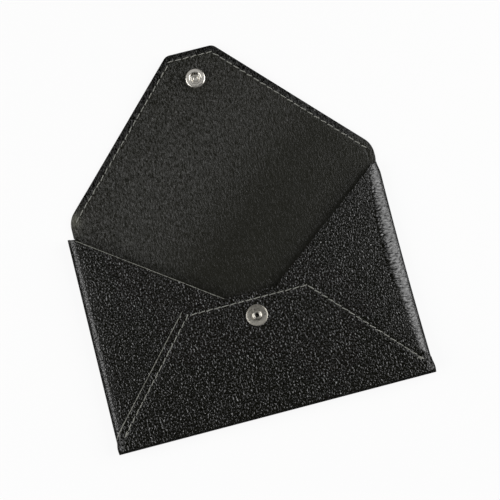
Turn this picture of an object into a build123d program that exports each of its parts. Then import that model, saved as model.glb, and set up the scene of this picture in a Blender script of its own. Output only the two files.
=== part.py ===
from build123d import *
import math
import os

# A leather document wallet: an envelope pocket whose flap folds over and snaps shut.
# It lies on its back with the flap open. X runs across it, Y from the bottom fold to the
# flap's tip, and Z up from the face that it rests on. The origin is the middle of that face.
# All sizes are in millimetres.

# Leather
leather_thickness = 0.9
lining_thickness = 0.5

# Pocket
pocket_width = 140.0
pocket_height = 95.0
pocket_gap = 4.6

# Side flaps: the slanted upper edge leaves the side fold a little below the pocket's top and
# runs down to the mouth. The hidden tips stop short of each other to leave room for the snap.
side_edge_drop = 1.0
mouth_width = 22.4
mouth_shift = 1.1
side_tip_gap = 17.0
side_tip_height = 6.0
side_foot_width = 9.0

# Front flap, folded up over the side flaps. Its top edge lies a margin above the stud and was
# cut slightly off centre.
front_snap_margin = 10.2
front_top_width = 55.6
front_top_shift = -0.9
front_corner_height = 6.7
front_corner_radius = 2.5

# Closing flap, and the strip at its root that bends when it closes. Its sides and its tip were
# each cut slightly off centre.
crease_rise = 1.7
fold_strip_width = 4.5
flap_length = 67.2
flap_width = 137.5
flap_shift = 1.2
flap_tip_width = 21.4
flap_tip_shift = 1.9
flap_shoulder_height = 6.7
flap_shoulder_radius = 9.5
flap_tip_radius = 4.0

# Seams
seam_inset = 3.0
seam_root_gap = 2.0
stitch_pitch = 3.5
stitch_length = 2.5
thread_width = 0.55
thread_thickness = 0.15

# Snap, shared by both halves
snap_tip_distance = 13.3
snap_shift = 1.5
press_depth = 0.2
fit_clearance = 0.05
snap_play = 0.15
post_diameter = 2.4
post_bore_diameter = 1.8
post_lip_diameter = 3.1
post_lip_thickness = 0.15
post_flange_thickness = 0.35

# Stud, on the front flap
stud_flange_diameter = 9.4
stud_flange_thickness = 0.4
stud_rim_width = 0.45
stud_rim_height = 0.2
stud_neck_diameter = 3.2
stud_ball_diameter = 4.3
stud_ball_height = 0.8
stud_post_flange_diameter = 8.0

# Socket and springs, on the flap's lining
socket_diameter = 8.8
socket_edge_radius = 0.6
socket_wall_thickness = 0.7
socket_face_thickness = 0.35
socket_floor_thickness = 0.3
socket_mouth_diameter = 4.8
spring_wire_diameter = 0.5

# Cap, on the flap's outer face
cap_diameter = 10.5
cap_height = 2.0
cap_wall_thickness = 0.35
cap_post_bore_depth = 0.6

# How far a cutting shape runs past what it cuts
cut_overrun = 5.0

# Levels of the layers, from the resting face up
lining_top = leather_thickness + lining_thickness
side_flap_low = lining_top + pocket_gap
side_flap_top = side_flap_low + leather_thickness
front_flap_top = side_flap_top + leather_thickness

# Places on the pocket
top_y = pocket_height / 2
bottom_y = -pocket_height / 2
side_x = pocket_width / 2
side_fold_radius = side_flap_top / 2
bottom_fold_radius = front_flap_top / 2
side_fold_x = side_x - side_fold_radius
bottom_fold_y = bottom_y + bottom_fold_radius

# Places on the flap, while it lies flat
crease_y = top_y + crease_rise
flap_root_y = top_y + fold_strip_width
flap_tip_y = crease_y + flap_length
flap_shoulder_y = crease_y + flap_shoulder_height

# The two halves of the snap lie as far from the crease as each other.
snap_distance = flap_length - snap_tip_distance
stud_y = crease_y - snap_distance
socket_y = crease_y + snap_distance
front_top_y = stud_y + front_snap_margin

# Heights of the snap's parts. The socket's face stops just above the stud's flange, the springs
# grip the neck, and the ball fits under the lip of the cap's post.
stud_flange_top = front_flap_top - press_depth + stud_flange_thickness
stud_neck_height = snap_play + socket_face_thickness + spring_wire_diameter + 2 * fit_clearance
stud_top = stud_flange_top + stud_neck_height + stud_ball_height
stud_lip_top = stud_top + post_lip_thickness
socket_height = stud_lip_top - stud_flange_top + post_lip_thickness + socket_floor_thickness
socket_base = lining_top - press_depth
socket_face = socket_base + socket_height

# The fold's axis lies halfway between the lining's open level and its closed level.
closed_lining_level = stud_flange_top + snap_play + socket_height - press_depth
hinge_z = (lining_top + closed_lining_level) / 2

# The open flap rests on its cap, so it stands a little steeper than flat: the angle at which the
# lowest point of the cap's dome meets the resting face.
cap_dome_radius = ((cap_diameter / 2) ** 2 + cap_height**2) / (2 * cap_height)
dome_rise = cap_dome_radius - cap_height - hinge_z
dome_reach = math.hypot(snap_distance, dome_rise)
rest_angle = math.degrees(
    math.asin((cap_dome_radius - hinge_z) / dome_reach) - math.atan2(dome_rise, snap_distance)
)
hinge_axis = Axis((0, crease_y, hinge_z), (1, 0, 0))


def moved_in(corners, distance):
    """Moves each edge of an open outline to its right by a distance, and gives the new corners."""
    edges = []
    for start, end in zip(corners, corners[1:]):
        along = (end - start).normalized()
        inward = Vector(along.Y, -along.X) * distance
        edges.append((start + inward, end - start))
    moved = [edges[0][0]]
    for (start, along), (next_start, next_along) in zip(edges, edges[1:]):
        gap = next_start - start
        cross = along.X * next_along.Y - along.Y * next_along.X
        moved.append(start + along * ((gap.X * next_along.Y - gap.Y * next_along.X) / cross))
    moved.append(edges[-1][0] + edges[-1][1])
    return moved


def sheet(path, low, thickness):
    """A flat sheet of leather whose outline is a path and the straight line that closes it."""
    closing = Line(path @ 1, path @ 0)
    face = make_face(path.edges() + closing.edges())
    return extrude(Pos(0, 0, low) * face, thickness, dir=(0, 0, 1))


def turned(x, y, low, profile):
    """A turned part on an upright axis, from its profile of radius and height above a level."""
    plane = Plane(origin=(x, y, low), x_dir=(1, 0, 0), z_dir=(0, -1, 0))
    face = make_face(Polyline(*profile, close=True))
    return revolve(plane * face, Axis((x, y, low), (0, 0, 1)))


def disc(x, y, low, diameter, height):
    """An upright cylinder that stands on a level."""
    return Pos(x, y, low) * Cylinder(
        diameter / 2, height, align=(Align.CENTER, Align.CENTER, Align.MIN)
    )


def half_fold(radius, length):
    """A leather half tube of an outer radius along +Y, open to +X, that rests on the origin."""
    ring = Circle(radius) - Circle(radius - leather_thickness)
    half = ring & Pos(-radius, 0, 0) * Rectangle(2 * radius, 2 * radius)
    plane = Plane(origin=(0, 0, radius), x_dir=(1, 0, 0), z_dir=(0, -1, 0))
    return extrude(plane * half, -length)


def stitches(path, level, thickness):
    """Stitches of thread spaced evenly along a path, each lying on a level."""
    count = max(1, round(path.length / stitch_pitch))
    face = SlotOverall(stitch_length, thread_width)
    bars = []
    for index in range(count):
        place = path @ ((index + 1 / 2) / count)
        along = path % ((index + 1 / 2) / count)
        turn = math.degrees(math.atan2(along.Y, along.X))
        bars.append(extrude(Pos(place.X, place.Y, level) * Rot(0, 0, turn) * face, thickness))
    return bars


def front_corners():
    """Corners of the front flap's free edge, from the lower left round to the lower right."""
    corner_y = bottom_y + front_corner_height
    half_top = front_top_width / 2
    return [
        Vector(-side_x, corner_y),
        Vector(front_top_shift - half_top, front_top_y),
        Vector(front_top_shift + half_top, front_top_y),
        Vector(side_x, corner_y),
    ]


def flap_corners():
    """Corners of the closing flap's edge, from the pocket's top on the left round its tip."""
    half_width = flap_width / 2
    half_tip = flap_tip_width / 2
    return [
        Vector(flap_shift - half_width, top_y),
        Vector(flap_shift - half_width, flap_shoulder_y),
        Vector(flap_tip_shift - half_tip, flap_tip_y),
        Vector(flap_tip_shift + half_tip, flap_tip_y),
        Vector(flap_shift + half_width, flap_shoulder_y),
        Vector(flap_shift + half_width, top_y),
    ]


def flap_edge():
    """The closing flap's edge as one line with rounded corners."""
    radii = [flap_shoulder_radius, flap_tip_radius, flap_tip_radius, flap_shoulder_radius]
    return FilletPolyline(*flap_corners(), radius=radii)


def side_flap_corners(side):
    """Corners of a side flap's flat part: -1 is the left flap and 1 the right one."""
    mouth_x = mouth_shift + side * mouth_width / 2
    fold_x = side * side_fold_x
    edge_y = top_y - side_edge_drop
    fall = (edge_y - front_top_y) / (fold_x - mouth_x)
    tip_x = snap_shift + side * side_tip_gap / 2
    tip_y = front_top_y + (tip_x - mouth_x) * fall
    return [
        Vector(fold_x, bottom_fold_y),
        Vector(fold_x, edge_y),
        Vector(tip_x, tip_y),
        Vector(tip_x, tip_y - side_tip_height),
        Vector(fold_x - side * side_foot_width, bottom_fold_y),
    ]


def above_root(piece):
    """The part of a flap piece that lies beyond the bending strip."""
    reach = 2 * (flap_width + flap_length)
    return piece & Pos(0, flap_root_y + reach / 2, 0) * Box(reach, reach, reach)


def below_root(piece):
    """The part of a flap piece that lies on the bending strip."""
    reach = 2 * (flap_width + flap_length)
    return piece & Pos(0, flap_root_y - reach / 2, 0) * Box(reach, reach, reach)


def plate(low_y, high_y, low, thickness):
    """A sheet between the two side folds."""
    return Pos(0, (low_y + high_y) / 2, low) * Box(
        2 * side_fold_x, high_y - low_y, thickness, align=(Align.CENTER, Align.CENTER, Align.MIN)
    )


def make_side_flap(side):
    """A side flap: the half-round side fold and the flat part that it turns into."""
    fold = half_fold(side_fold_radius, top_y - bottom_fold_y)
    if side > 0:
        fold = mirror(fold, Plane.YZ)
    corners = side_flap_corners(side)
    flat = sheet(Polyline(*corners), side_flap_low, leather_thickness)
    return Pos(side * side_fold_x, bottom_fold_y, 0) * fold + flat


def make_front_flap():
    """The front flap: the half-round bottom fold and the flat part, pierced for the stud."""
    fold = Rot(0, 0, 90) * half_fold(bottom_fold_radius, pocket_width)
    fold = Pos(side_x, bottom_fold_y, 0) * fold
    left_low, left_top, right_top, right_low = front_corners()
    outline = FilletPolyline(
        Vector(-side_x, bottom_fold_y),
        left_low,
        left_top,
        right_top,
        right_low,
        Vector(side_x, bottom_fold_y),
        radius=[0, front_corner_radius, front_corner_radius, 0],
    )
    flap = fold + sheet(outline, side_flap_top, leather_thickness)
    hole = post_diameter + 2 * fit_clearance
    flap -= disc(snap_shift, stud_y, side_flap_top - cut_overrun, hole, 2 * cut_overrun)
    seat = stud_flange_diameter + 2 * fit_clearance
    return flap - disc(snap_shift, stud_y, front_flap_top - press_depth, seat, cut_overrun)


def seam_end(corner, inner):
    """The end of the front seam, moved up its slant to where the side flap is flat."""
    limit = side_fold_x - thread_width
    return corner + (inner - corner) * ((abs(corner.X) - limit) / abs(corner.X - inner.X))


def make_front_seams():
    """The front flap's seam: threads on its face, and on the leather behind each of them."""
    corners = moved_in(front_corners(), seam_inset)
    corners[0] = seam_end(corners[0], corners[1])
    corners[-1] = seam_end(corners[-1], corners[-2])
    path = Polyline(*corners)
    upper = stitches(path, front_flap_top, thread_thickness)
    flats = [make_side_flap(-1), make_side_flap(1)]
    under = []
    for low in stitches(path, side_flap_low - thread_thickness, thread_thickness):
        raised = Pos(0, 0, leather_thickness) * low
        meets = [flat for flat in flats if (raised & flat)]
        under.append(low if meets else raised)
    return Compound(children=upper), Compound(children=under)


def make_stud():
    """The stud: a flange with a raised rim, a neck and a ball, bored for its post."""
    bore = post_diameter / 2 + fit_clearance
    flange = stud_flange_diameter / 2
    neck = stud_neck_diameter / 2
    ball = stud_ball_diameter / 2
    neck_top = stud_flange_thickness + stud_neck_height
    rim_top = stud_flange_thickness + stud_rim_height
    profile = [
        (bore, 0),
        (flange, 0),
        (flange, rim_top),
        (flange - stud_rim_width, rim_top),
        (flange - stud_rim_width, stud_flange_thickness),
        (neck, stud_flange_thickness),
        (neck, neck_top),
        (ball, neck_top + stud_ball_height / 4),
        (ball, neck_top + stud_ball_height * 3 / 4),
        ((neck + ball) / 2, neck_top + stud_ball_height),
        (bore, neck_top + stud_ball_height),
    ]
    return turned(snap_shift, stud_y, front_flap_top - press_depth, profile)


def post_profile(flange_diameter, shank):
    """Profile of a hollow post: its flange, then its shank, then the lip that is flared over."""
    bore = post_bore_diameter / 2
    lip_top = shank + post_lip_thickness
    return [
        (bore, -post_flange_thickness),
        (flange_diameter / 2, -post_flange_thickness),
        (flange_diameter / 2, 0),
        (post_diameter / 2, 0),
        (post_diameter / 2, shank),
        (post_lip_diameter / 2, shank),
        (post_lip_diameter / 2, lip_top),
        (bore, lip_top),
    ]


def make_stud_post():
    """The hollow post that holds the stud, with its flange inside the pocket."""
    profile = post_profile(stud_post_flange_diameter, stud_top - side_flap_top)
    return turned(snap_shift, stud_y, side_flap_top, profile)


def make_flap_leather():
    """The closing flap's outer leather, pierced for the cap's post."""
    leather = above_root(sheet(flap_edge(), 0, leather_thickness))
    hole = post_diameter + 2 * fit_clearance
    return leather - disc(snap_shift, socket_y, -cut_overrun, hole, 2 * cut_overrun)


def make_flap_lining():
    """The flap's lining, cut flush with the leather, pierced and pressed in under the socket."""
    lining = above_root(sheet(flap_edge(), leather_thickness, lining_thickness))
    hole = post_diameter + 2 * fit_clearance
    seat = socket_diameter + 2 * fit_clearance
    lining -= disc(snap_shift, socket_y, -cut_overrun, hole, 2 * cut_overrun)
    return lining - disc(snap_shift, socket_y, socket_base, seat, cut_overrun)


def make_flap_seams():
    """The flap's seam along its edge: threads on the lining and on the outer face."""
    corners = moved_in(flap_corners(), seam_inset)
    start_y = flap_root_y + seam_root_gap
    corners[0] = Vector(corners[0].X, start_y)
    corners[-1] = Vector(corners[-1].X, start_y)
    path = Polyline(*corners)
    upper = stitches(path, lining_top, thread_thickness)
    under = stitches(path, -thread_thickness, thread_thickness)
    return Compound(children=upper), Compound(children=under)


def make_socket():
    """The socket: a hollow disc with a mouth for the stud's ball, held by the cap's post."""
    bore = post_diameter / 2 + fit_clearance
    outer = socket_diameter / 2
    cavity = outer - socket_wall_thickness
    mouth = socket_mouth_diameter / 2
    ceiling = socket_height - socket_face_thickness
    profile = [
        (bore, 0),
        (outer, 0),
        (outer, socket_height - socket_edge_radius),
        (outer - socket_edge_radius, socket_height),
        (mouth, socket_height),
        (mouth, ceiling),
        (cavity, ceiling),
        (cavity, socket_floor_thickness),
        (bore, socket_floor_thickness),
    ]
    return turned(snap_shift, socket_y, socket_base, profile)


def make_springs():
    """The two spring wires that lie under the socket's face, one each side of the stud's neck."""
    radius = spring_wire_diameter / 2
    offset = stud_neck_diameter / 2 + fit_clearance + radius
    cavity = socket_diameter / 2 - socket_wall_thickness
    half_length = math.sqrt(cavity**2 - (offset + radius) ** 2) - fit_clearance
    level = socket_face - socket_face_thickness - fit_clearance - radius
    wire = Rot(90, 0, 0) * Cylinder(radius, 2 * half_length)
    wires = [Pos(snap_shift + side * offset, socket_y, level) * wire for side in (-1, 1)]
    return Compound(children=wires)


def dome_radius_at(depth, wall):
    """Radius of the cap's dome, inside a wall, at a depth below the flap's outer face."""
    return math.sqrt(
        (cap_dome_radius - wall) ** 2 - (cap_dome_radius - cap_height + depth) ** 2
    )


def make_cap():
    """The cap: a shallow dome of sheet metal, hollow behind."""
    middle_z = cap_dome_radius - cap_height
    middle = Pos(snap_shift, socket_y, middle_z)
    shell = middle * Sphere(cap_dome_radius) - middle * Sphere(cap_dome_radius - cap_wall_thickness)
    return shell & disc(snap_shift, socket_y, -2 * cap_height, 2 * cap_diameter, 2 * cap_height)


def make_cap_post():
    """The post that holds the socket, bored only at its end, with its flange inside the cap."""
    flange = dome_radius_at(post_flange_thickness, cap_wall_thickness) - fit_clearance
    shank = socket_base + socket_floor_thickness
    profile = post_profile(2 * flange, shank)
    bore_end = shank + post_lip_thickness - cap_post_bore_depth
    core = disc(
        snap_shift,
        socket_y,
        -post_flange_thickness,
        post_bore_diameter,
        post_flange_thickness + bore_end,
    )
    return turned(snap_shift, socket_y, 0, profile) + core


def make_pocket():
    """All pieces of the pocket, by name."""
    upper, under = make_front_seams()
    outer = below_root(sheet(flap_edge(), 0, leather_thickness))
    lining = below_root(sheet(flap_edge(), leather_thickness, lining_thickness))
    return {
        "back_panel": plate(bottom_fold_y, top_y, 0, leather_thickness),
        "pocket_lining": plate(bottom_fold_y, top_y, leather_thickness, lining_thickness),
        "left_side_flap": make_side_flap(-1),
        "right_side_flap": make_side_flap(1),
        "front_flap": make_front_flap(),
        "front_seam_thread": upper,
        "front_seam_under_thread": under,
        "fold_leather": outer,
        "fold_lining": lining,
        "snap_stud": make_stud(),
        "snap_stud_post": make_stud_post(),
    }


def make_flap():
    """All pieces of the closing flap, by name, turned up to where its cap rests."""
    upper, under = make_flap_seams()
    pieces = {
        "flap_leather": make_flap_leather(),
        "flap_lining": make_flap_lining(),
        "flap_seam_thread": upper,
        "flap_seam_under_thread": under,
        "snap_socket": make_socket(),
        "snap_springs": make_springs(),
        "snap_cap": make_cap(),
        "snap_cap_post": make_cap_post(),
    }
    return {name: piece.rotate(hinge_axis, rest_angle) for name, piece in pieces.items()}


os.makedirs("parts", exist_ok=True)
for name, piece in {**make_pocket(), **make_flap()}.items():
    export_step(piece, os.path.join("parts", name + ".step"))
print(f"crease axis at y {crease_y:.4f}, z {hinge_z:.4f}; flap closes in {180 - rest_angle:.4f} degrees")
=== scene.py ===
"""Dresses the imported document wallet: grained leather, smooth lining, thread and nickel snaps."""

import logging
import math
from dataclasses import dataclass
from enum import Enum

import bmesh
import bpy
import numpy as np
from mathutils import Matrix, Vector


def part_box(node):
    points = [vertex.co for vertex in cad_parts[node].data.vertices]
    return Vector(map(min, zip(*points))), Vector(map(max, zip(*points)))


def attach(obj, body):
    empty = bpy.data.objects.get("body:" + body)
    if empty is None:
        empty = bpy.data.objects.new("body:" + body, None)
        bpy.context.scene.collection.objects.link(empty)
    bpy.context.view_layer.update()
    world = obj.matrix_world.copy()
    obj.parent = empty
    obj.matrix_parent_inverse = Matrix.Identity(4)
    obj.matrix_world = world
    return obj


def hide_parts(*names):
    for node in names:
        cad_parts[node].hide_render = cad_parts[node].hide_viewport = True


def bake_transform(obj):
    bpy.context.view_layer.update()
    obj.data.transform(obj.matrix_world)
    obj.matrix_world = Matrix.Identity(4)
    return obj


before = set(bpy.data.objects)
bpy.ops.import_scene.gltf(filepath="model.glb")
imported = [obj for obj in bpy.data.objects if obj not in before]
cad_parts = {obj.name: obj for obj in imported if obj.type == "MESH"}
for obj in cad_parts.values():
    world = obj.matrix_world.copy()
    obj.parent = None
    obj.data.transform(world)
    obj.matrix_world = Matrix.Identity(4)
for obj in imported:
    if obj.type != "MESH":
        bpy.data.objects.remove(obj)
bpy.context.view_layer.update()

LOG = logging.getLogger("wallet")

# Metres in a millimetre. Every size below is in millimetres, X across the wallet, Y from its
# bottom fold to the flap's tip and Z up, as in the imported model.
MM = 0.001

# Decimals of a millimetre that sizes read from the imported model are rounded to.
DIGITS = 3

# The map that the leather's grain is drawn on: the unrolled hide, in millimetres.
GRAIN_MAP = "grain"

# The map that a stitch's plies are drawn on: along the thread and round it, in millimetres.
PLY_MAP = "plies"

# How far the grain is pressed, up to one: flat over a fold, and outside the seam on the lining.
# On the lining, values below nought mark a painted highlight, where the lining is painted paler.
PRESS_AND_HIGHLIGHT = "pressed"

# Edges that turn by more than this stay sharp in the shading.
SHARP_ANGLE = math.radians(40)

# Points nearer to each other than this, in metres, are merged.
MERGED = 1e-7

# How many points each rounding of a turned part's section has.
OVAL_STEPS = 9


class Side(Enum):
    """A side of the wallet, with the sign of its X."""

    LEFT = -1
    RIGHT = 1


class Face(Enum):
    """A face of a sewn layer, with the sign of its outward Z."""

    UPPER = 1
    UNDER = -1


def linear(hex_colour: str) -> tuple[float, float, float, float]:
    """Turns an sRGB colour to the linear colour that shaders take.

    Args:
        hex_colour: The colour as #rrggbb.

    Returns:
        Linear red, green, blue and an alpha of one.
    """
    values = [int(hex_colour[i : i + 2], 16) / 255 for i in (1, 3, 5)]
    low = [v / 12.92 if v <= 0.04045 else ((v + 0.055) / 1.055) ** 2.4 for v in values]
    return (*low, 1.0)


def smooth(value: np.ndarray) -> np.ndarray:
    """The smooth step: 3t squared less 2t cubed, with t held between nought and one."""
    held = np.clip(value, 0.0, 1.0)
    return held * held * (3.0 - 2.0 * held)


def bell(distance: np.ndarray, width: float) -> np.ndarray:
    """The bell curve: e to the minus square of the distance over the width."""
    return np.exp(-((distance / width) ** 2))


def node_box(node: str) -> np.ndarray:
    """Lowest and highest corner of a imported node, in rounded millimetres."""
    return np.round(np.array(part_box(node), float) / MM, DIGITS)


def add_node(tree: bpy.types.NodeTree, kind: str, settings: dict) -> bpy.types.Node:
    """Adds a node with its settings and its incoming links.

    Args:
        tree: The material's or world's node tree.
        kind: The node's type name, without the ShaderNode that it starts with.
        settings: Property names, or input socket names or numbers, with their values. A value
            that is an output socket is linked, and one that is a node is linked by its first
            output. The stops of a colour ramp are pairs of a place and an sRGB colour.

    Returns:
        The new node.
    """
    node = tree.nodes.new(f"ShaderNode{kind}")
    for key, value in settings.items():
        if isinstance(value, (bpy.types.Node, bpy.types.NodeSocket)):
            source = value.outputs[0] if isinstance(value, bpy.types.Node) else value
            tree.links.new(source, node.inputs[key])
        elif key == "stops":
            elements = node.color_ramp.elements
            for index, (place, colour) in enumerate(value):
                stop = elements[index] if index < len(elements) else elements.new(1.0)
                stop.position, stop.color = place, linear(colour)
        elif isinstance(key, str) and hasattr(node, key):
            setattr(node, key, value)
        else:
            node.inputs[key].default_value = value
    return node


def new_tree(name: str) -> tuple[bpy.types.Material, bpy.types.NodeTree]:
    """Makes an empty material that uses nodes.

    Args:
        name: The material's name.

    Returns:
        The material and its node tree.
    """
    material = bpy.data.materials.new(name)
    material.use_nodes = True
    material.node_tree.nodes.clear()
    return material, material.node_tree


# In the materials, inputs 1 and 2 of a Map Range are what comes in and 3 and 4 what goes out.


@dataclass(frozen=True)
class PebbleLeather:
    """Black cowhide, embossed with a pebble grain and glazed.

    The glaze has run down into the furrows, so the pebbles glint one by one on their sides and
    their tops stay duller.
    """

    name: str = "pebble_grain_leather"
    top: str = "#10100a"
    furrow: str = "#030302"
    # A pebble is 0.7 mm across. The fine creases on it are drawn at 0.8 mm, coarser than they are,
    # because the real ones are finer than a pixel.
    pebble: float = 0.7
    crease: float = 0.8
    # The pebbles are warped by this share of their size, in waves of so many pebbles.
    warp: float = 0.9
    warp_wave: float = 2.2
    # Patches of the hide took the embossing more or less deeply, as their noise goes from its
    # first tone to its second.
    patch: float = 9.0
    patch_tones: tuple[float, float] = (0.3, 0.7)
    shallow: float = 0.75
    relief: float = 0.29
    # What is left of the relief where a fold presses it flat, and what rubbing adds there to the
    # roughness and to the shine, by patches.
    left_over: float = 0.7
    rubbed: tuple[float, float] = (0.3, 1.5)
    # A pebble's section is this power of the distance from its middle, less the fine creases.
    dome: float = 3.0
    fine: float = 0.1
    soft: float = 0.2
    # Distances from a pebble's middle between which its colour, roughness and glaze change.
    colour_reach: tuple[float, float] = (0.25, 0.75)
    rough_reach: tuple[float, float] = (0.2, 0.8)
    roughness: tuple[float, float] = (0.17, 0.32)
    glaze_reach: tuple[float, float] = (0.35, 0.75)
    glaze: tuple[float, float] = (0.3, 0.66)
    # The glaze took unevenly, so a pebble's side glints in dots: the tones of the fine creases
    # between which the shine grows from nought, and how many times over it grows.
    dots: tuple[float, float, float] = (0.406, 0.65, 2.6)

    def material(self) -> bpy.types.Material:
        """Builds the leather: warped cells give pebbles, and noise gives their fine creases.

        Returns:
            The material.
        """
        made, tree = new_tree(self.name)
        place = add_node(tree, "UVMap", {"uv_map": GRAIN_MAP})
        wave = 1 / (self.warp_wave * self.pebble)
        bend = add_node(tree, "TexNoise", {"Scale": wave, "Detail": 2.0, "Vector": place})
        shift = add_node(
            tree,
            "VectorMath",
            {
                "operation": "MULTIPLY_ADD",
                0: bend.outputs["Color"],
                1: (self.warp * self.pebble,) * 3,
                2: place,
            },
        )
        cells = add_node(
            tree,
            "TexVoronoi",
            {
                "voronoi_dimensions": "2D",
                "feature": "SMOOTH_F1",
                "Scale": 1 / self.pebble,
                "Smoothness": self.soft,
                "Vector": shift,
            },
        )
        fine = add_node(
            tree,
            "TexNoise",
            {"Scale": 1 / self.crease, "Detail": 3.0, "Roughness": 0.6, "Vector": place},
        )
        dome = add_node(tree, "Math", {"operation": "POWER", 0: cells, 1: self.dome})
        depth = add_node(
            tree, "Math", {"operation": "MULTIPLY_ADD", 0: fine, 1: -self.fine, 2: dome}
        )
        patches = add_node(
            tree, "TexNoise", {"Scale": 1 / self.patch, "Detail": 1.0, "Vector": place}
        )
        shallow, full = self.patch_tones
        strength = add_node(
            tree, "MapRange", {"Value": patches, 1: shallow, 2: full, 3: self.shallow, 4: 1.0}
        )
        pressed = add_node(tree, "Attribute", {"attribute_name": PRESS_AND_HIGHLIGHT}).outputs["Fac"]
        left = add_node(
            tree, "MapRange", {"Value": pressed, 1: 0.0, 2: 1.0, 3: 1.0, 4: self.left_over}
        )
        both = add_node(tree, "Math", {"operation": "MULTIPLY", 0: strength, 1: left})
        bump = add_node(
            tree,
            "Bump",
            {"invert": True, "Distance": self.relief * MM, "Height": depth, "Strength": both},
        )
        tints = zip(self.colour_reach, (self.top, self.furrow))
        colour = add_node(tree, "ValToRGB", {"Fac": cells, "stops": tints})
        gloss, glaze = (
            add_node(
                tree,
                "MapRange",
                {"Value": cells, 1: reach[0], 2: reach[1], 3: levels[0], 4: levels[1]},
            )
            for reach, levels in (
                (self.rough_reach, self.roughness),
                (self.glaze_reach, self.glaze),
            )
        )
        start, end, times = self.dots
        dots = add_node(tree, "MapRange", {"Value": fine, 1: start, 2: end, 3: 0.0, 4: times})
        dotted = add_node(tree, "Math", {"operation": "MULTIPLY", 0: glaze, 1: dots})
        uneven = add_node(tree, "Math", {"operation": "MULTIPLY", 0: pressed, 1: patches})
        dulled, shone = (
            add_node(tree, "Math", {"operation": "MULTIPLY_ADD", 0: uneven, 1: added, 2: plain})
            for added, plain in zip(self.rubbed, (gloss, dotted))
        )
        shader = add_node(
            tree,
            "BsdfPrincipled",
            {
                "IOR": 1.5,
                "Base Color": colour,
                "Roughness": dulled,
                "Specular IOR Level": shone,
                "Normal": bump,
            },
        )
        add_node(tree, "OutputMaterial", {"Surface": shader})
        return made


@dataclass(frozen=True)
class PaintedEdgeHighlight:
    """A pale line painted along the leather's cut edge: a painted highlight where light catches it.

    The line is paler than the face and quite matt, so the edge shows as a thin grey line.
    """

    name: str = "painted_edge_highlight"
    pale: str = "#85857c"
    dark: str = "#3a3a35"
    # A spot of the painted highlight is about a millimetre and a half long.
    spot: float = 1.5
    tones: tuple[float, float] = (0.3, 0.5)
    relief: float = 0.05
    roughness: float = 0.7

    def material(self) -> bpy.types.Material:
        """Builds the painted highlight: noise along the edge mixes a pale tone with a darker one.

        Returns:
            The material.
        """
        made, tree = new_tree(self.name)
        place = add_node(tree, "UVMap", {"uv_map": GRAIN_MAP})
        spots = add_node(tree, "TexNoise", {"Scale": 1 / self.spot, "Detail": 3.0, "Vector": place})
        tints = zip(self.tones, (self.dark, self.pale))
        colour = add_node(tree, "ValToRGB", {"Fac": spots, "stops": tints})
        bump = add_node(
            tree, "Bump", {"Strength": 0.5, "Distance": self.relief * MM, "Height": spots}
        )
        shader = add_node(
            tree,
            "BsdfPrincipled",
            {"Roughness": self.roughness, "Base Color": colour, "Normal": bump},
        )
        add_node(tree, "OutputMaterial", {"Surface": shader})
        return made


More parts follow.
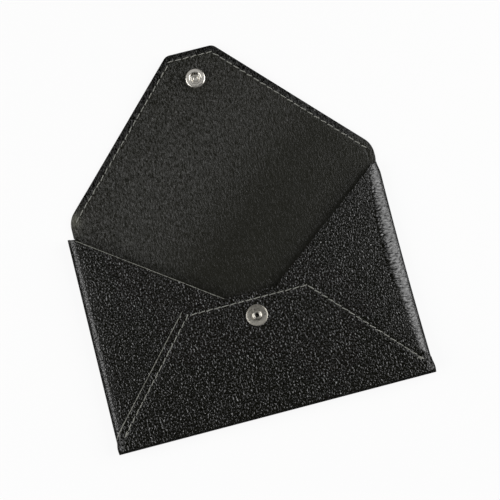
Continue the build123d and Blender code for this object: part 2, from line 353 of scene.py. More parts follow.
@dataclass(frozen=True)
class LiningLeather:
    """Thin split leather, dyed near black and plated smooth.

    Plating leaves a fine grain drawn out along the hide, and a satin face that is a little paler
    than the outside.
    """

    name: str = "plated_lining_leather"
    pale: str = "#262620"
    dark: str = "#191914"
    # Outside the seam the lining is pressed hard against the leather: darker, with a deeper grain.
    # The rubbed colour is a painted highlight, put where the pressed attribute falls below nought.
    margin: str = "#080806"
    rubbed: str = "#5a5a50"
    margin_depth: float = 0.42
    margin_grain: float = 0.5
    # The grain is 0.45 mm across the hide and three times as long along it, and it leans by some
    # degrees. It is drawn at 0.55 mm, because the real one is finer than a pixel.
    grain: float = 0.55
    stretch: float = 3.0
    lean: float = 8.0
    # The hide is plated smoother towards its lower right: the grain grows along this direction,
    # The grain grows towards the upper left along this direction, over this span of it, from its
    # weakest to its strongest, in relief and in tone; its stronger tones there are painted light.
    towards: tuple[float, float, float] = (-0.62, 0.78, 0.0)
    span: tuple[float, float] = (25.0, 85.0)
    grained: tuple[float, float] = (0.34, 1.05)
    # The grain's middle tone, and the tones at which the lining is dark and pale.
    middle: float = 0.5
    tones: tuple[float, float] = (0.3, 0.7)
    relief: float = 0.6
    roughness: float = 0.17
    # The tones of the grain between which the shine grows from nought to its most.
    strokes: tuple[float, float] = (0.37, 0.68)
    shine: float = 0.54

    def material(self) -> bpy.types.Material:
        """Builds the lining: noise drawn out along Y gives its grain, which fades across it.

        Returns:
            The material.
        """
        made, tree = new_tree(self.name)
        place = add_node(tree, "UVMap", {"uv_map": GRAIN_MAP})
        drawn = add_node(
            tree,
            "Mapping",
            {
                "Rotation": (0.0, 0.0, math.radians(self.lean)),
                "Scale": (1.0, 1 / self.stretch, 1.0),
                "Vector": place,
            },
        )
        grain = add_node(
            tree,
            "TexNoise",
            {
                "Scale": 1 / self.grain,
                "Detail": 2.0,
                "Roughness": 0.6,
                "Distortion": 0.8,
                "Vector": drawn,
            },
        )
        along = add_node(
            tree, "VectorMath", {"operation": "DOT_PRODUCT", 0: place, 1: self.towards}
        )
        (start, end), (weak, strong) = self.span, self.grained
        spread = add_node(
            tree,
            "MapRange",
            {"Value": along.outputs["Value"], 1: start, 2: end, 3: weak, 4: strong},
        )
        pressed = add_node(tree, "Attribute", {"attribute_name": PRESS_AND_HIGHLIGHT}).outputs["Fac"]
        strength = add_node(
            tree,
            "Math",
            {"operation": "MULTIPLY_ADD", 0: pressed, 1: self.margin_grain, 2: spread},
        )
        offset = add_node(tree, "Math", {"operation": "SUBTRACT", 0: grain, 1: self.middle})
        tone = add_node(
            tree, "Math", {"operation": "MULTIPLY_ADD", 0: offset, 1: strength, 2: self.middle}
        )
        # Below nought the pressed attribute lifts the tone to the rubbed colour: a painted
        # highlight.
        lowered = add_node(
            tree,
            "Math",
            {"operation": "MULTIPLY_ADD", 0: pressed, 1: -self.margin_depth, 2: tone},
        )
        tints = zip((0.0, *self.tones, 1.0), (self.margin, self.dark, self.pale, self.rubbed))
        colour = add_node(tree, "ValToRGB", {"Fac": lowered, "stops": tints})
        start, end = self.strokes
        shine = add_node(tree, "MapRange", {"Value": tone, 1: start, 2: end, 3: 0.0, 4: self.shine})
        bump = add_node(
            tree, "Bump", {"Distance": self.relief * MM, "Height": grain, "Strength": strength}
        )
        shader = add_node(
            tree,
            "BsdfPrincipled",
            {
                "Roughness": self.roughness,
                "Base Color": colour,
                "Specular IOR Level": shine,
                "Normal": bump,
            },
        )
        add_node(tree, "OutputMaterial", {"Surface": shader})
        return made


@dataclass(frozen=True)
class SewingThread:
    """Pale grey polyester sewing thread, three plies twisted and waxed.

    The twist shows as slanting stripes of light and shade across each stitch.
    """

    name: str = "polyester_sewing_thread"
    light: str = "#a3a39a"
    dark: str = "#5c5c57"
    # The plies are drawn at 0.9 mm, coarser than they are, because the real ones are finer than a
    # pixel.
    ply: float = 0.9
    tones: tuple[float, float] = (0.15, 0.7)
    relief: float = 0.06
    roughness: float = 0.6

    def material(self) -> bpy.types.Material:
        """Builds the thread: stripes on the stitch's own map slant across it as its plies do.

        Returns:
            The material.
        """
        made, tree = new_tree(self.name)
        place = add_node(tree, "UVMap", {"uv_map": PLY_MAP})
        plies = add_node(
            tree,
            "TexWave",
            {
                "bands_direction": "DIAGONAL",
                "Scale": 1 / self.ply,
                "Distortion": 0.4,
                "Vector": place,
            },
        ).outputs["Fac"]
        tints = zip(self.tones, (self.dark, self.light))
        colour = add_node(tree, "ValToRGB", {"Fac": plies, "stops": tints})
        bump = add_node(
            tree, "Bump", {"Strength": 0.6, "Distance": self.relief * MM, "Height": plies}
        )
        shader = add_node(
            tree,
            "BsdfPrincipled",
            {"Roughness": self.roughness, "Base Color": colour, "Normal": bump},
        )
        add_node(tree, "OutputMaterial", {"Surface": shader})
        return made


@dataclass(frozen=True)
class PlatedMetal:
    """Metal pressed from sheet or drawn as wire, and plated.

    Plating is nearly a mirror. Faint handling marks break up what it reflects.
    """

    name: str
    colour: str
    roughness: float
    # A handling mark is about a millimetre long. Its noise spreads the roughness by these shares.
    mark: float = 0.8
    tones: tuple[float, float] = (0.3, 0.7)
    uneven: tuple[float, float] = (0.7, 1.3)
    relief: float = 0.01

    def material(self) -> bpy.types.Material:
        """Builds the plating: noise varies its roughness and ripples it slightly.

        Returns:
            The material.
        """
        made, tree = new_tree(self.name)
        place = add_node(tree, "TexCoord", {}).outputs["Object"]
        marks = add_node(
            tree, "TexNoise", {"Scale": 1 / (self.mark * MM), "Detail": 4.0, "Vector": place}
        )
        (start, end), (low, high) = self.tones, self.uneven
        gloss = add_node(
            tree,
            "MapRange",
            {"Value": marks, 1: start, 2: end, 3: self.roughness * low, 4: self.roughness * high},
        )
        bump = add_node(
            tree, "Bump", {"Strength": 0.3, "Distance": self.relief * MM, "Height": marks}
        )
        shader = add_node(
            tree,
            "BsdfPrincipled",
            {
                "Metallic": 1.0,
                "Base Color": linear(self.colour),
                "Roughness": gloss,
                "Normal": bump,
            },
        )
        add_node(tree, "OutputMaterial", {"Surface": shader})
        return made


@dataclass(frozen=True)
class PaperFloor:
    """White background paper, which shows white to the camera and still takes a soft shadow.

    What the wallet's folds mirror of it is a dim grey, because they show no white ground.
    """

    name: str = "background_paper"
    colour: str = "#fafafa"
    mirrored: str = "#5a5a5a"
    glow: float = 0.9

    def material(self) -> bpy.types.Material:
        """Builds the paper: most of what the camera sees of it is plain white.

        Returns:
            The material.
        """
        made, tree = new_tree(self.name)
        paper = add_node(tree, "BsdfDiffuse", {"Color": linear(self.colour)})
        white = add_node(tree, "Emission", {"Strength": 1.0})
        dim = add_node(tree, "BsdfDiffuse", {"Color": linear(self.mirrored)})
        rays = add_node(tree, "LightPath", {}).outputs
        seen, glossy = rays["Is Camera Ray"], rays["Is Glossy Ray"]
        share = add_node(tree, "Math", {"operation": "MULTIPLY", 0: seen, 1: self.glow})
        lit = add_node(tree, "MixShader", {0: share, 1: paper, 2: white})
        both = add_node(tree, "MixShader", {0: glossy, 1: lit, 2: dim})
        add_node(tree, "OutputMaterial", {"Surface": both})
        return made


@dataclass
class Surface:
    """A grid of points with its faces, the map that its finish is drawn on, and its finishes.

    Where they are given, kinds says which finish each face has, and pressed how far the grain is
    pressed at each point; below nought it marks a painted highlight.
    """

    points: np.ndarray
    faces: np.ndarray
    finishes: list[bpy.types.Material]
    flat: np.ndarray | None = None
    flat_name: str = GRAIN_MAP
    kinds: np.ndarray | None = None
    pressed: np.ndarray | None = None

    def make(self, name: str) -> bpy.types.Object:
        """Puts the surface into a closed mesh at the origin, smooth but for its sharp edges.

        Args:
            name: The piece's name.

        Returns:
            The new object.
        """
        mesh = bpy.data.meshes.new(name)
        mesh.from_pydata((self.points.reshape(-1, 3) * MM).tolist(), [], self.faces.tolist())
        if self.flat is not None:
            spots = self.flat.reshape(-1, 2)[self.faces.ravel()]
            mesh.uv_layers.new(name=self.flat_name).data.foreach_set("uv", spots.ravel())
        if self.pressed is not None:
            layer = mesh.attributes.new(PRESS_AND_HIGHLIGHT, "FLOAT", "POINT")
            layer.data.foreach_set("value", self.pressed.ravel().astype(np.float32))
        for finish in self.finishes:
            mesh.materials.append(finish)
        if self.kinds is not None:
            mesh.polygons.foreach_set("material_index", self.kinds.ravel().astype(np.int32))
        work = bmesh.new()
        work.from_mesh(mesh)
        bmesh.ops.remove_doubles(work, verts=work.verts, dist=MERGED)
        bmesh.ops.dissolve_degenerate(work, edges=work.edges, dist=MERGED)
        bmesh.ops.holes_fill(work, edges=[e for e in work.edges if e.is_boundary], sides=0)
        bmesh.ops.recalc_face_normals(work, faces=work.faces)
        for part in work.faces:
            part.smooth = True
        for edge in work.edges:
            edge.smooth = edge.calc_face_angle(0.0) < SHARP_ANGLE
        work.to_mesh(mesh)
        work.free()
        made = bpy.data.objects.new(name, mesh)
        bpy.context.scene.collection.objects.link(made)
        return made


def grid_faces(rows: int, columns: int, wrapped: bool = False) -> np.ndarray:
    """Quads of a grid of points that are numbered row by row.

    Args:
        rows: Points along the first parameter.
        columns: Points along the second parameter.
        wrapped: Whether the last column joins the first.

    Returns:
        The quads as rows of four point numbers.
    """
    low = np.arange(rows - 1)[:, None] * columns
    column = np.arange(columns if wrapped else columns - 1)[None, :]
    beside = (column + 1) % columns
    corners = [low + column, low + beside, low + columns + beside, low + columns + column]
    return np.stack(corners, axis=-1).reshape(-1, 4)


def rounded(
    before: np.ndarray, corner: np.ndarray, after: np.ndarray, radius: float, steps: int
) -> tuple[np.ndarray, np.ndarray]:
    """The arc that rounds a corner, and the direction to its centre at each point.

    The centre lies on the corner's bisector at the radius over the sine of half its angle.

    Args:
        before: A point before the corner.
        corner: The corner.
        after: A point after the corner.
        radius: The arc's radius.
        steps: How many points the arc has.

    Returns:
        The arc's points, and unit vectors from them to its centre.
    """
    back = (before - corner) / np.linalg.norm(before - corner)
    on = (after - corner) / np.linalg.norm(after - corner)
    half = math.acos(float(back @ on)) / 2
    centre = corner + (back + on) / np.linalg.norm(back + on) * radius / math.sin(half)
    first = corner + back * radius / math.tan(half) - centre
    last = corner + on * radius / math.tan(half) - centre
    start = math.atan2(first[1], first[0])
    turn = (math.atan2(last[1], last[0]) - start + math.pi) % (2 * math.pi) - math.pi
    angles = start + turn * np.linspace(0.0, 1.0, steps)
    outward = np.stack([np.cos(angles), np.sin(angles)], axis=-1)
    return centre + radius * outward, -outward


def moved_in(corners: np.ndarray, distance: float) -> np.ndarray:
    """An open outline whose edges are moved to their right, cut again where they meet.

    Args:
        corners: The outline's corners.
        distance: How far each edge moves.

    Returns:
        The new corners.
    """
    along = np.diff(corners, axis=0)
    along /= np.linalg.norm(along, axis=1, keepdims=True)
    inward = np.stack([along[:, 1], -along[:, 0]], axis=-1)
    start = corners[:-1] + inward * distance
    gap = start[1:] - start[:-1]
    cross = along[:-1, 0] * along[1:, 1] - along[:-1, 1] * along[1:, 0]
    reach = (gap[:, 0] * along[1:, 1] - gap[:, 1] * along[1:, 0]) / cross
    inner = start[:-1] + along[:-1] * reach[:, None]
    return np.vstack([start[:1], inner, corners[-1:] + inward[-1:] * distance])


def line_distance(x: np.ndarray, y: np.ndarray, corners: np.ndarray) -> np.ndarray:
    """Distance of points from an open line: the least of their distances from its runs.

    Args:
        x: The points' X.
        y: The points' Y.
        corners: The line's corners.

    Returns:
        The distances, in the shape of x.
    """
    points = np.stack(np.broadcast_arrays(x, y), axis=-1)[..., None, :]
    run = corners[1:] - corners[:-1]
    part = ((points - corners[:-1]) * run).sum(-1) / (run * run).sum(-1)
    near = corners[:-1] + np.clip(part, 0.0, 1.0)[..., None] * run
    return np.linalg.norm(points - near, axis=-1).min(-1)


@dataclass(frozen=True)
class Blank:
    """Sizes that several pieces share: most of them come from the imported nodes."""

    # Thicknesses of the outer leather and of the lining.
    leather: float
    lining: float
    # Where the side folds and the bottom fold start, and the top of the pocket.
    fold_x: float
    bottom_y: float
    top_y: float
    # Where the strip at the flap's crease ends.
    root_y: float
    # The flap's width, and how far it lies off centre.
    flap_width: float
    flap_shift: float
    # The front flap's reach to either side, its top edge, and the radii of the two kinds of fold.
    half_width: float
    front_top_y: float
    side_radius: float
    bottom_radius: float
    snap_x: float
    stud_y: float = -4.7
    # How far in from an edge a seam runs, and how deep it is pressed.
    seam_inset: float = 3.0
    seam_depth: float = 0.16

    @classmethod
    def measured(cls) -> "Blank":
        """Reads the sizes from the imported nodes' boxes.

        Returns:
            The sizes.
        """
        back, lining, strip = map(node_box, ("back_panel", "pocket_lining", "fold_leather"))
        front, side, springs = map(node_box, ("front_flap", "left_side_flap", "snap_springs"))
        return cls(
            leather=back[1, 2],
            lining=np.round(lining[1, 2] - lining[0, 2], DIGITS),
            fold_x=back[1, 0],
            bottom_y=back[0, 1],
            top_y=back[1, 1],
            root_y=strip[1, 1],
            flap_width=np.round(strip[1, 0] - strip[0, 0], DIGITS),
            flap_shift=np.round(strip[:, 0].mean(), DIGITS),
            half_width=front[1, 0],
            front_top_y=front[1, 1],
            side_radius=side[1, 2] / 2,
            bottom_radius=front[1, 2] / 2,
            snap_x=np.round(springs[:, 0].mean(), DIGITS),
        )


@dataclass
class Crease:
    """The flap's fold: where its axis lies, and how far the open flap is turned up."""

    blank: Blank
    y: float = 49.2
    z: float = 5.925
    rest_degrees: float = 2.1265
    bend_end_y: float = 54.0
    # Round the closed spine the outer leather's strip is this many times as long as when open.
    spine_stretch: float = 2.9

    def facing(self, y: float) -> float:
        """The place that meets another when the flap closes: as far on the crease's other side."""
        return 2 * self.y - y

    def spread(self, xy: np.ndarray) -> np.ndarray:
        """The outer leather's map: its strip at the crease is as long as it is when closed.

        Args:
            xy: X and Y on the flat blank.

        Returns:
            The places on the map.
        """
        strip = np.clip(xy[..., 1], self.blank.top_y, self.bend_end_y) - self.blank.top_y
        return np.stack([xy[..., 0], xy[..., 1] + (self.spine_stretch - 1) * strip], axis=-1)

    def lay(self, points: np.ndarray) -> np.ndarray:
        """Turns flat points about the crease: by none before its start and fully past its root.

        Args:
            points: Points of the flat blank.

        Returns:
            The points as the open flap lies.
        """
        start, root = self.blank.top_y, self.blank.root_y
        angle = np.radians(self.rest_degrees) * smooth((points[..., 1] - start) / (root - start))
        y, z = points[..., 1] - self.y, points[..., 2] - self.z
        laid = points.copy()
        laid[..., 1] = self.y + y * np.cos(angle) - z * np.sin(angle)
        laid[..., 2] = self.z + y * np.sin(angle) + z * np.cos(angle)
        return laid

    def bend(self, piece: bpy.types.Object) -> None:
        """Bakes a piece's placement into its mesh.

        Args:
            piece: The piece.
        """
        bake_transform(piece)


@dataclass
class BackAndFlap:
    """The back wall and the closing flap: one run of leather, and a lining cut flush with it."""

    blank: Blank
    crease: Crease
    # Beside the crease the back's edge steps out by an ear, to the flap's width. These are the
    # heights above the pocket's top at which the ear starts, is full and has met the flap.
    ear: float = 3.0
    ear_heights: tuple[float, float, float] = (-0.1, 0.3, 2.6)
    tip_width: float = 21.4
    tip_shift: float = 1.9
    tip_y: float = 116.4
    shoulder_y: float = 55.9
    shoulder_radius: float = 9.5
    tip_radius: float = 4.0
    seam_width: float = 0.55
    # The seam draws the edge together, so the lining falls towards it.
    edge_fall: float = 0.22
    # The cut edge's outer corner is round, and its inner corner is nearly sharp.
    edge_radius: float = 0.3
    sharp_radius: float = 0.02
    # The edge comes free of the pocket from this far above its top, smoothly over this length.
    freed: tuple[float, float] = (0.5, 3.0)
    # The grid's rows run in to a line up the middle, which ends short of the tip.
    spine_top_y: float = 108.5
    # The open flap waves slightly: the height of each sine and its lengths along X and Y for a
    # radian, and how far from the root the waves are fully grown.
    waves: tuple[tuple[float, float, float], ...] = ((0.16, 13.0, 31.0), (0.12, -23.0, 11.0))
    waves_grown: float = 25.0
    # The snap pulls the lining in round itself.
    snap_radius: float = 4.4
    dimple_depth: float = 0.22
    dimple_width: float = 2.2
    # The lining stands up along the crease, and it curls up at the left shoulder, where the open
    # flap pulls on the pocket's corner. Beside the curl's edge the lining has a painted highlight.
    crease_height: float = 0.1
    crease_width: float = 2.2
    curl_place: tuple[float, float] = (-57.0, 57.0)
    curl_height: float = 0.85
    curl_width: float = 7.5
    raised_over: float = 2.0
    shoulder_highlight_place: tuple[float, float] = (-65.5, 56.0)
    shoulder_highlight_reach: tuple[float, float] = (4.0, 6.5)
    # The margin starts this far inside the seam's line and is full after this step. It grows up
    # the flap from this far above the pocket's top, over this length.
    margin_step: tuple[float, float] = (0.1, 0.5)
    margin_rise: tuple[float, float] = (9.0, 8.0)
    # Distances in from the edge at which the grid follows the seam's groove.
    insets: tuple[float, ...] = (4.2, 3.8, 3.45, 3.2, 3.0, 2.8, 2.55, 2.2, 1.7, 1.2, 0.75, 0.4)
    # Rows of the grid: up the back, over the crease, and round the shoulder, the slant, the tip's
    # corner and half of the tip. The back's rows end, and the crease's start, this far below the
    # pocket's top.
    back_rows: int = 40
    crease_rows: int = 24
    row_ends: tuple[float, float] = (1.0, 0.6)
    shoulder_rows: int = 12
    slant_rows: int = 48
    corner_rows: int = 10
    tip_rows: int = 7
    leather_columns: int = 30
    lining_columns: int = 64
    rim_steps: int = 5

    def corners(self) -> np.ndarray:
        """Corners of the flap's edge.

        Returns:
            The corners, from the crease on the left round the tip to the crease on the right.
        """
        half, tip = self.blank.flap_width / 2, self.tip_width / 2
        shift, top_y = self.blank.flap_shift, self.blank.top_y
        return np.array(
            [
                (shift - half, top_y),
                (shift - half, self.shoulder_y),
                (self.tip_shift - tip, self.tip_y),
                (self.tip_shift + tip, self.tip_y),
                (shift + half, self.shoulder_y),
                (shift + half, top_y),
            ]
        )

    def half_edge(self, side: Side) -> tuple[np.ndarray, np.ndarray]:
        """Half of the blank's edge, from the bottom of the back to the middle of the tip.

        Straight runs and arcs follow one another: the back's side, the ear beside the crease,
        the shoulder's arc, the slant, the tip's arc and half of the tip.

        Args:
            side: Which half.

        Returns:
            The edge's points, and unit vectors that point inwards from them.
        """
        blank = self.blank
        below, shoulder, tip = self.corners()[:: -side.value][:3]
        middle = np.array((self.tip_shift, self.tip_y))
        last_back, first_crease = self.row_ends
        rows = np.concatenate(
            [
                np.linspace(blank.bottom_y, blank.top_y - last_back, self.back_rows),
                np.linspace(blank.top_y - first_crease, blank.root_y, self.crease_rows),
            ]
        )
        ear = min(self.ear, abs(shoulder[0]) - blank.fold_x)
        ear_y = blank.top_y + np.array(self.ear_heights)
        back_x = side.value * blank.fold_x
        ear_x = (back_x, back_x + side.value * ear, shoulder[0])
        straight = np.stack([np.interp(rows, ear_y, ear_x), rows], axis=-1)
        arc, arc_in = rounded(below, shoulder, tip, self.shoulder_radius, self.shoulder_rows)
        turn, turn_in = rounded(shoulder, tip, middle, self.tip_radius, self.corner_rows)
        share = np.linspace(0.0, 1.0, self.slant_rows)[1:-1, None]
        slant = arc[-1] + (turn[0] - arc[-1]) * share
        last = turn[-1] + (middle - turn[-1]) * np.linspace(0.0, 1.0, self.tip_rows)[1:, None]
        edge = np.vstack([straight, arc, slant, turn, last])
        inward = np.vstack(
            [
                np.tile((-side.value, 0.0), (len(straight), 1)),
                arc_in,
                np.tile(arc_in[-1], (len(slant), 1)),
                turn_in,
                np.tile((0.0, -1.0), (len(last), 1)),
            ]
        )
        return edge, inward

    def outline(self) -> tuple[np.ndarray, np.ndarray, np.ndarray, np.ndarray]:
        """The whole edge, and the line up the middle that its rows run in to.

        Returns:
            The edge's points, the inward directions, the middle's points, and how free of the
            pocket the edge is at each, from nought to one.
        """
        left, left_in = self.half_edge(Side.LEFT)
        right, right_in = self.half_edge(Side.RIGHT)
        straight = self.back_rows + self.crease_rows
        rise = np.linspace(self.blank.root_y, self.spine_top_y, len(left) - straight + 1)[1:]
        spine = np.concatenate([left[:straight, 1], rise])
        middle = np.stack([np.full(len(spine), self.blank.snap_x), spine], axis=-1)
        edge = np.vstack([left, right[-2::-1]])
        inward = np.vstack([left_in, right_in[-2::-1]])
        middle = np.vstack([middle, middle[-2::-1]])
        start, length = self.freed
        free = smooth((edge[:, 1] - self.blank.top_y - start) / length)
        return edge, inward, middle, free

    def across(self, start: float, columns: int) -> tuple[np.ndarray, np.ndarray, np.ndarray]:
        """The grid on one face, from the middle out to the edge.

        Each row runs straight from the middle to a line beside the seam, then square to the edge.

        Args:
            start: How far in from the blank's edge the face ends.
            columns: How many points the straight run has.

        Returns:
            The points' X and Y, their distances in from the edge, and how free the edge is.
        """
        edge, inward, middle, free = self.outline()
        inner = edge + inward * self.insets[0]
        run = np.linspace(0.0, 1.0, columns)[None, :-1, None]
        far = middle[:, None] + (inner - middle)[:, None] * run
        steps = np.array([*self.insets, start])
        near = edge[:, None] + inward[:, None] * steps[None, :, None]
        # The straight run is out of the seam's reach.
        inset = np.concatenate([np.full(columns - 1, np.inf), steps])
        inset = np.broadcast_to(inset, (len(edge), len(inset)))
        return np.concatenate([far, near], axis=1), inset, free[:, None]

    def groove(self, inset: np.ndarray, free: np.ndarray) -> np.ndarray:
        """How deep the seam is pressed in: a bell of the distance from it."""
        return self.blank.seam_depth * free * bell(inset - self.blank.seam_inset, self.seam_width)

    def margin(self, xy: np.ndarray) -> np.ndarray:
        """How far into the margin outside the seam points lie: a smooth step of their distance.

        A point's distance outside the seam is half of how much nearer it is to the edge than to a
        line as far inside the seam. The painted highlight is a bell of the distance from its place.

        Args:
            xy: The points' X and Y.

        Returns:
            Nought inside the seam, one outside it, and down to minus one at the painted highlight.
        """
        edge = self.corners()
        inside = moved_in(edge, 2 * self.blank.seam_inset)
        x, y = xy[..., 0], xy[..., 1]
        past = (line_distance(x, y, inside) - line_distance(x, y, edge)) / 2
        (start, step), (foot, rise) = self.margin_step, self.margin_rise
        out = smooth((past + start) / step) * smooth((y - self.blank.top_y - foot) / rise)
        # Below nought, and fading where the margin is: the painted highlight at the left shoulder.
        away = (xy - self.shoulder_highlight_place) / self.shoulder_highlight_reach
        return out - bell(np.linalg.norm(away, axis=-1), 1.0) * (1 - out)

    def wave(self, x: np.ndarray, y: np.ndarray) -> np.ndarray:
        """Slight waves of the open flap: sines that grow from its root to its tip.

        Args:
            x: The points' X.
            y: The points' Y.

        Returns:
            The heights.
        """
        grown = smooth((y - self.blank.root_y) / self.waves_grown)
        return grown * sum(high * np.sin(x / wide + y / long) for high, wide, long in self.waves)

    def dimple(self, x: np.ndarray, y: np.ndarray) -> np.ndarray:
        """How far the snap pulls the lining in round itself: a bell of its distance.

        Args:
            x: The points' X.
            y: The points' Y.

        Returns:
            The depths.
        """
        away = np.hypot(x - self.blank.snap_x, y - self.crease.facing(self.blank.stud_y))
        past = np.maximum(away - self.snap_radius, 0.0)
        return self.dimple_depth * bell(past, self.dimple_width)

    def raised(self, x: np.ndarray, y: np.ndarray) -> np.ndarray:
        """How far the lining stands up: a bell across the crease and one round the curl.

        Args:
            x: The points' X.
            y: The points' Y.

        Returns:
            The heights, which start at the pocket's mouth.
        """
        away = np.hypot(x - self.curl_place[0], y - self.curl_place[1])
        ridge = self.crease_height * bell(y - self.crease.y, self.crease_width)
        ridge = ridge + self.curl_height * bell(away, self.curl_width)
        return ridge * smooth((y - self.blank.top_y) / self.raised_over)

    def close(
        self,
        name: str,
        lower: tuple,
        upper: tuple,
        edge: tuple,
        finish: bpy.types.Material,
        face: Face,
    ) -> bpy.types.Object:
        """Joins an upper face, a rounded edge and a lower face into a piece laid open.

        Args:
            name: The piece's name.
            lower: X, Y and height of the lower face's grid, from the middle out.
            upper: The same of the upper face.
            edge: The same of the edge between them, from the lower face to the upper one.
            finish: The leather.
            face: Which side of the blank the piece is on: the lining is the upper one.

        Returns:
            The piece.
        """
        xy = np.concatenate([lower[0], edge[0], upper[0][:, ::-1]], axis=1)
        z = np.concatenate([lower[1], edge[1], upper[1][:, ::-1]], axis=1)
        z = z + self.wave(xy[..., 0], xy[..., 1])
        points = self.crease.lay(np.concatenate([xy, z[..., None]], axis=-1))
        faces = grid_faces(*points.shape[:2])
        if face is Face.UPPER:
            surface = Surface(points, faces, [finish], xy, pressed=self.margin(xy))
        else:
            surface = Surface(points, faces, [finish], self.crease.spread(xy))
        piece = surface.make(name)
        self.crease.bend(piece)
        return piece

    def rim(self, low: float, high: np.ndarray, under: float, over: float) -> tuple:
        """The cut edge between two faces: two quarter circles with a straight cut between them.

        Args:
            low: Height of the lower face.
            high: Heights of the upper face at the edge, one for each row.
            under: Radius of the lower corner.
            over: Radius of the upper corner.

        Returns:
            X and Y of the grid, and its heights.
        """
        edge, inward, _, _ = self.outline()
        turn = np.radians(np.linspace(0.0, 90.0, self.rim_steps))[None, :]
        in_low, z_low = under * (1 - np.sin(turn)), low + under * (1 - np.cos(turn))
        in_high, z_high = over * (1 - np.cos(turn)), high[:, None] - over * (1 - np.sin(turn))
        rows = np.ones((len(edge), 1))
        steps = np.concatenate([in_low * rows, in_high * rows], axis=1)
        heights = np.concatenate([z_low * rows, z_high], axis=1)
        return edge[:, None] + inward[:, None] * steps[..., None], heights

    def make_leather(self, finish: bpy.types.Material) -> bpy.types.Object:
        """Builds the outer leather: a sheet in section, carried along the blank's edge.

        The seam presses a bell-shaped groove into the outer face, and the outer corner is round.

        Args:
            finish: The leather.

        Returns:
            The piece.
        """
        leather = self.blank.leather
        xy, inset, free = self.across(self.edge_radius, self.leather_columns)
        lower = (xy, self.groove(inset, free))
        inner, inner_inset, _ = self.across(self.sharp_radius, self.leather_columns)
        upper = (inner, np.full(inner_inset.shape, leather))
        rim = self.rim(0.0, np.full(len(xy), leather), self.edge_radius, self.sharp_radius)
        piece = self.close("back_and_flap_leather", lower, upper, rim, finish, Face.UNDER)
        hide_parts("back_panel", "fold_leather", "flap_leather")
        return piece

    def make_lining(self, finish: bpy.types.Material) -> bpy.types.Object:
        """Builds the lining: a thin sheet flush with the leather, carried along the blank's edge.

        Its face falls by a smooth step from the seam to the edge, sinks by a bell round the snap
        and along the seam, and rises by a bell along the crease, where it has been folded.

        Args:
            finish: The lining.

        Returns:
            The piece.
        """
        leather, seam = self.blank.leather, self.blank.seam_inset
        xy, inset, free = self.across(self.edge_radius, self.lining_columns)
        x, y = xy[..., 0], xy[..., 1]
        fall = self.edge_fall * free * smooth((seam - inset) / seam)
        top = leather + self.blank.lining - fall - self.groove(inset, free)
        top = top - self.dimple(x, y) + self.raised(x, y)
        under, under_inset, _ = self.across(self.sharp_radius, self.lining_columns)
        lower = (under, np.full(under_inset.shape, leather))
        rim = self.rim(leather, top[:, -1], self.sharp_radius, self.edge_radius)
        piece = self.close("back_and_flap_lining", lower, (xy, top), rim, finish, Face.UPPER)
        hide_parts("pocket_lining", "fold_lining", "flap_lining")
        return piece


@dataclass(frozen=True)
class FoldShape:
    """How a fold is pressed.

    Its upper quarter's reach is given at some places along it. It is bowed in at its middle and
    pinched in at its upper end, and its grain is pressed flat by a share.
    """

    places: tuple[float, ...]
    reach: tuple[float, ...]
    bow: float = 0.0
    pressed: float = 0.0
    pinch: float = 0.0


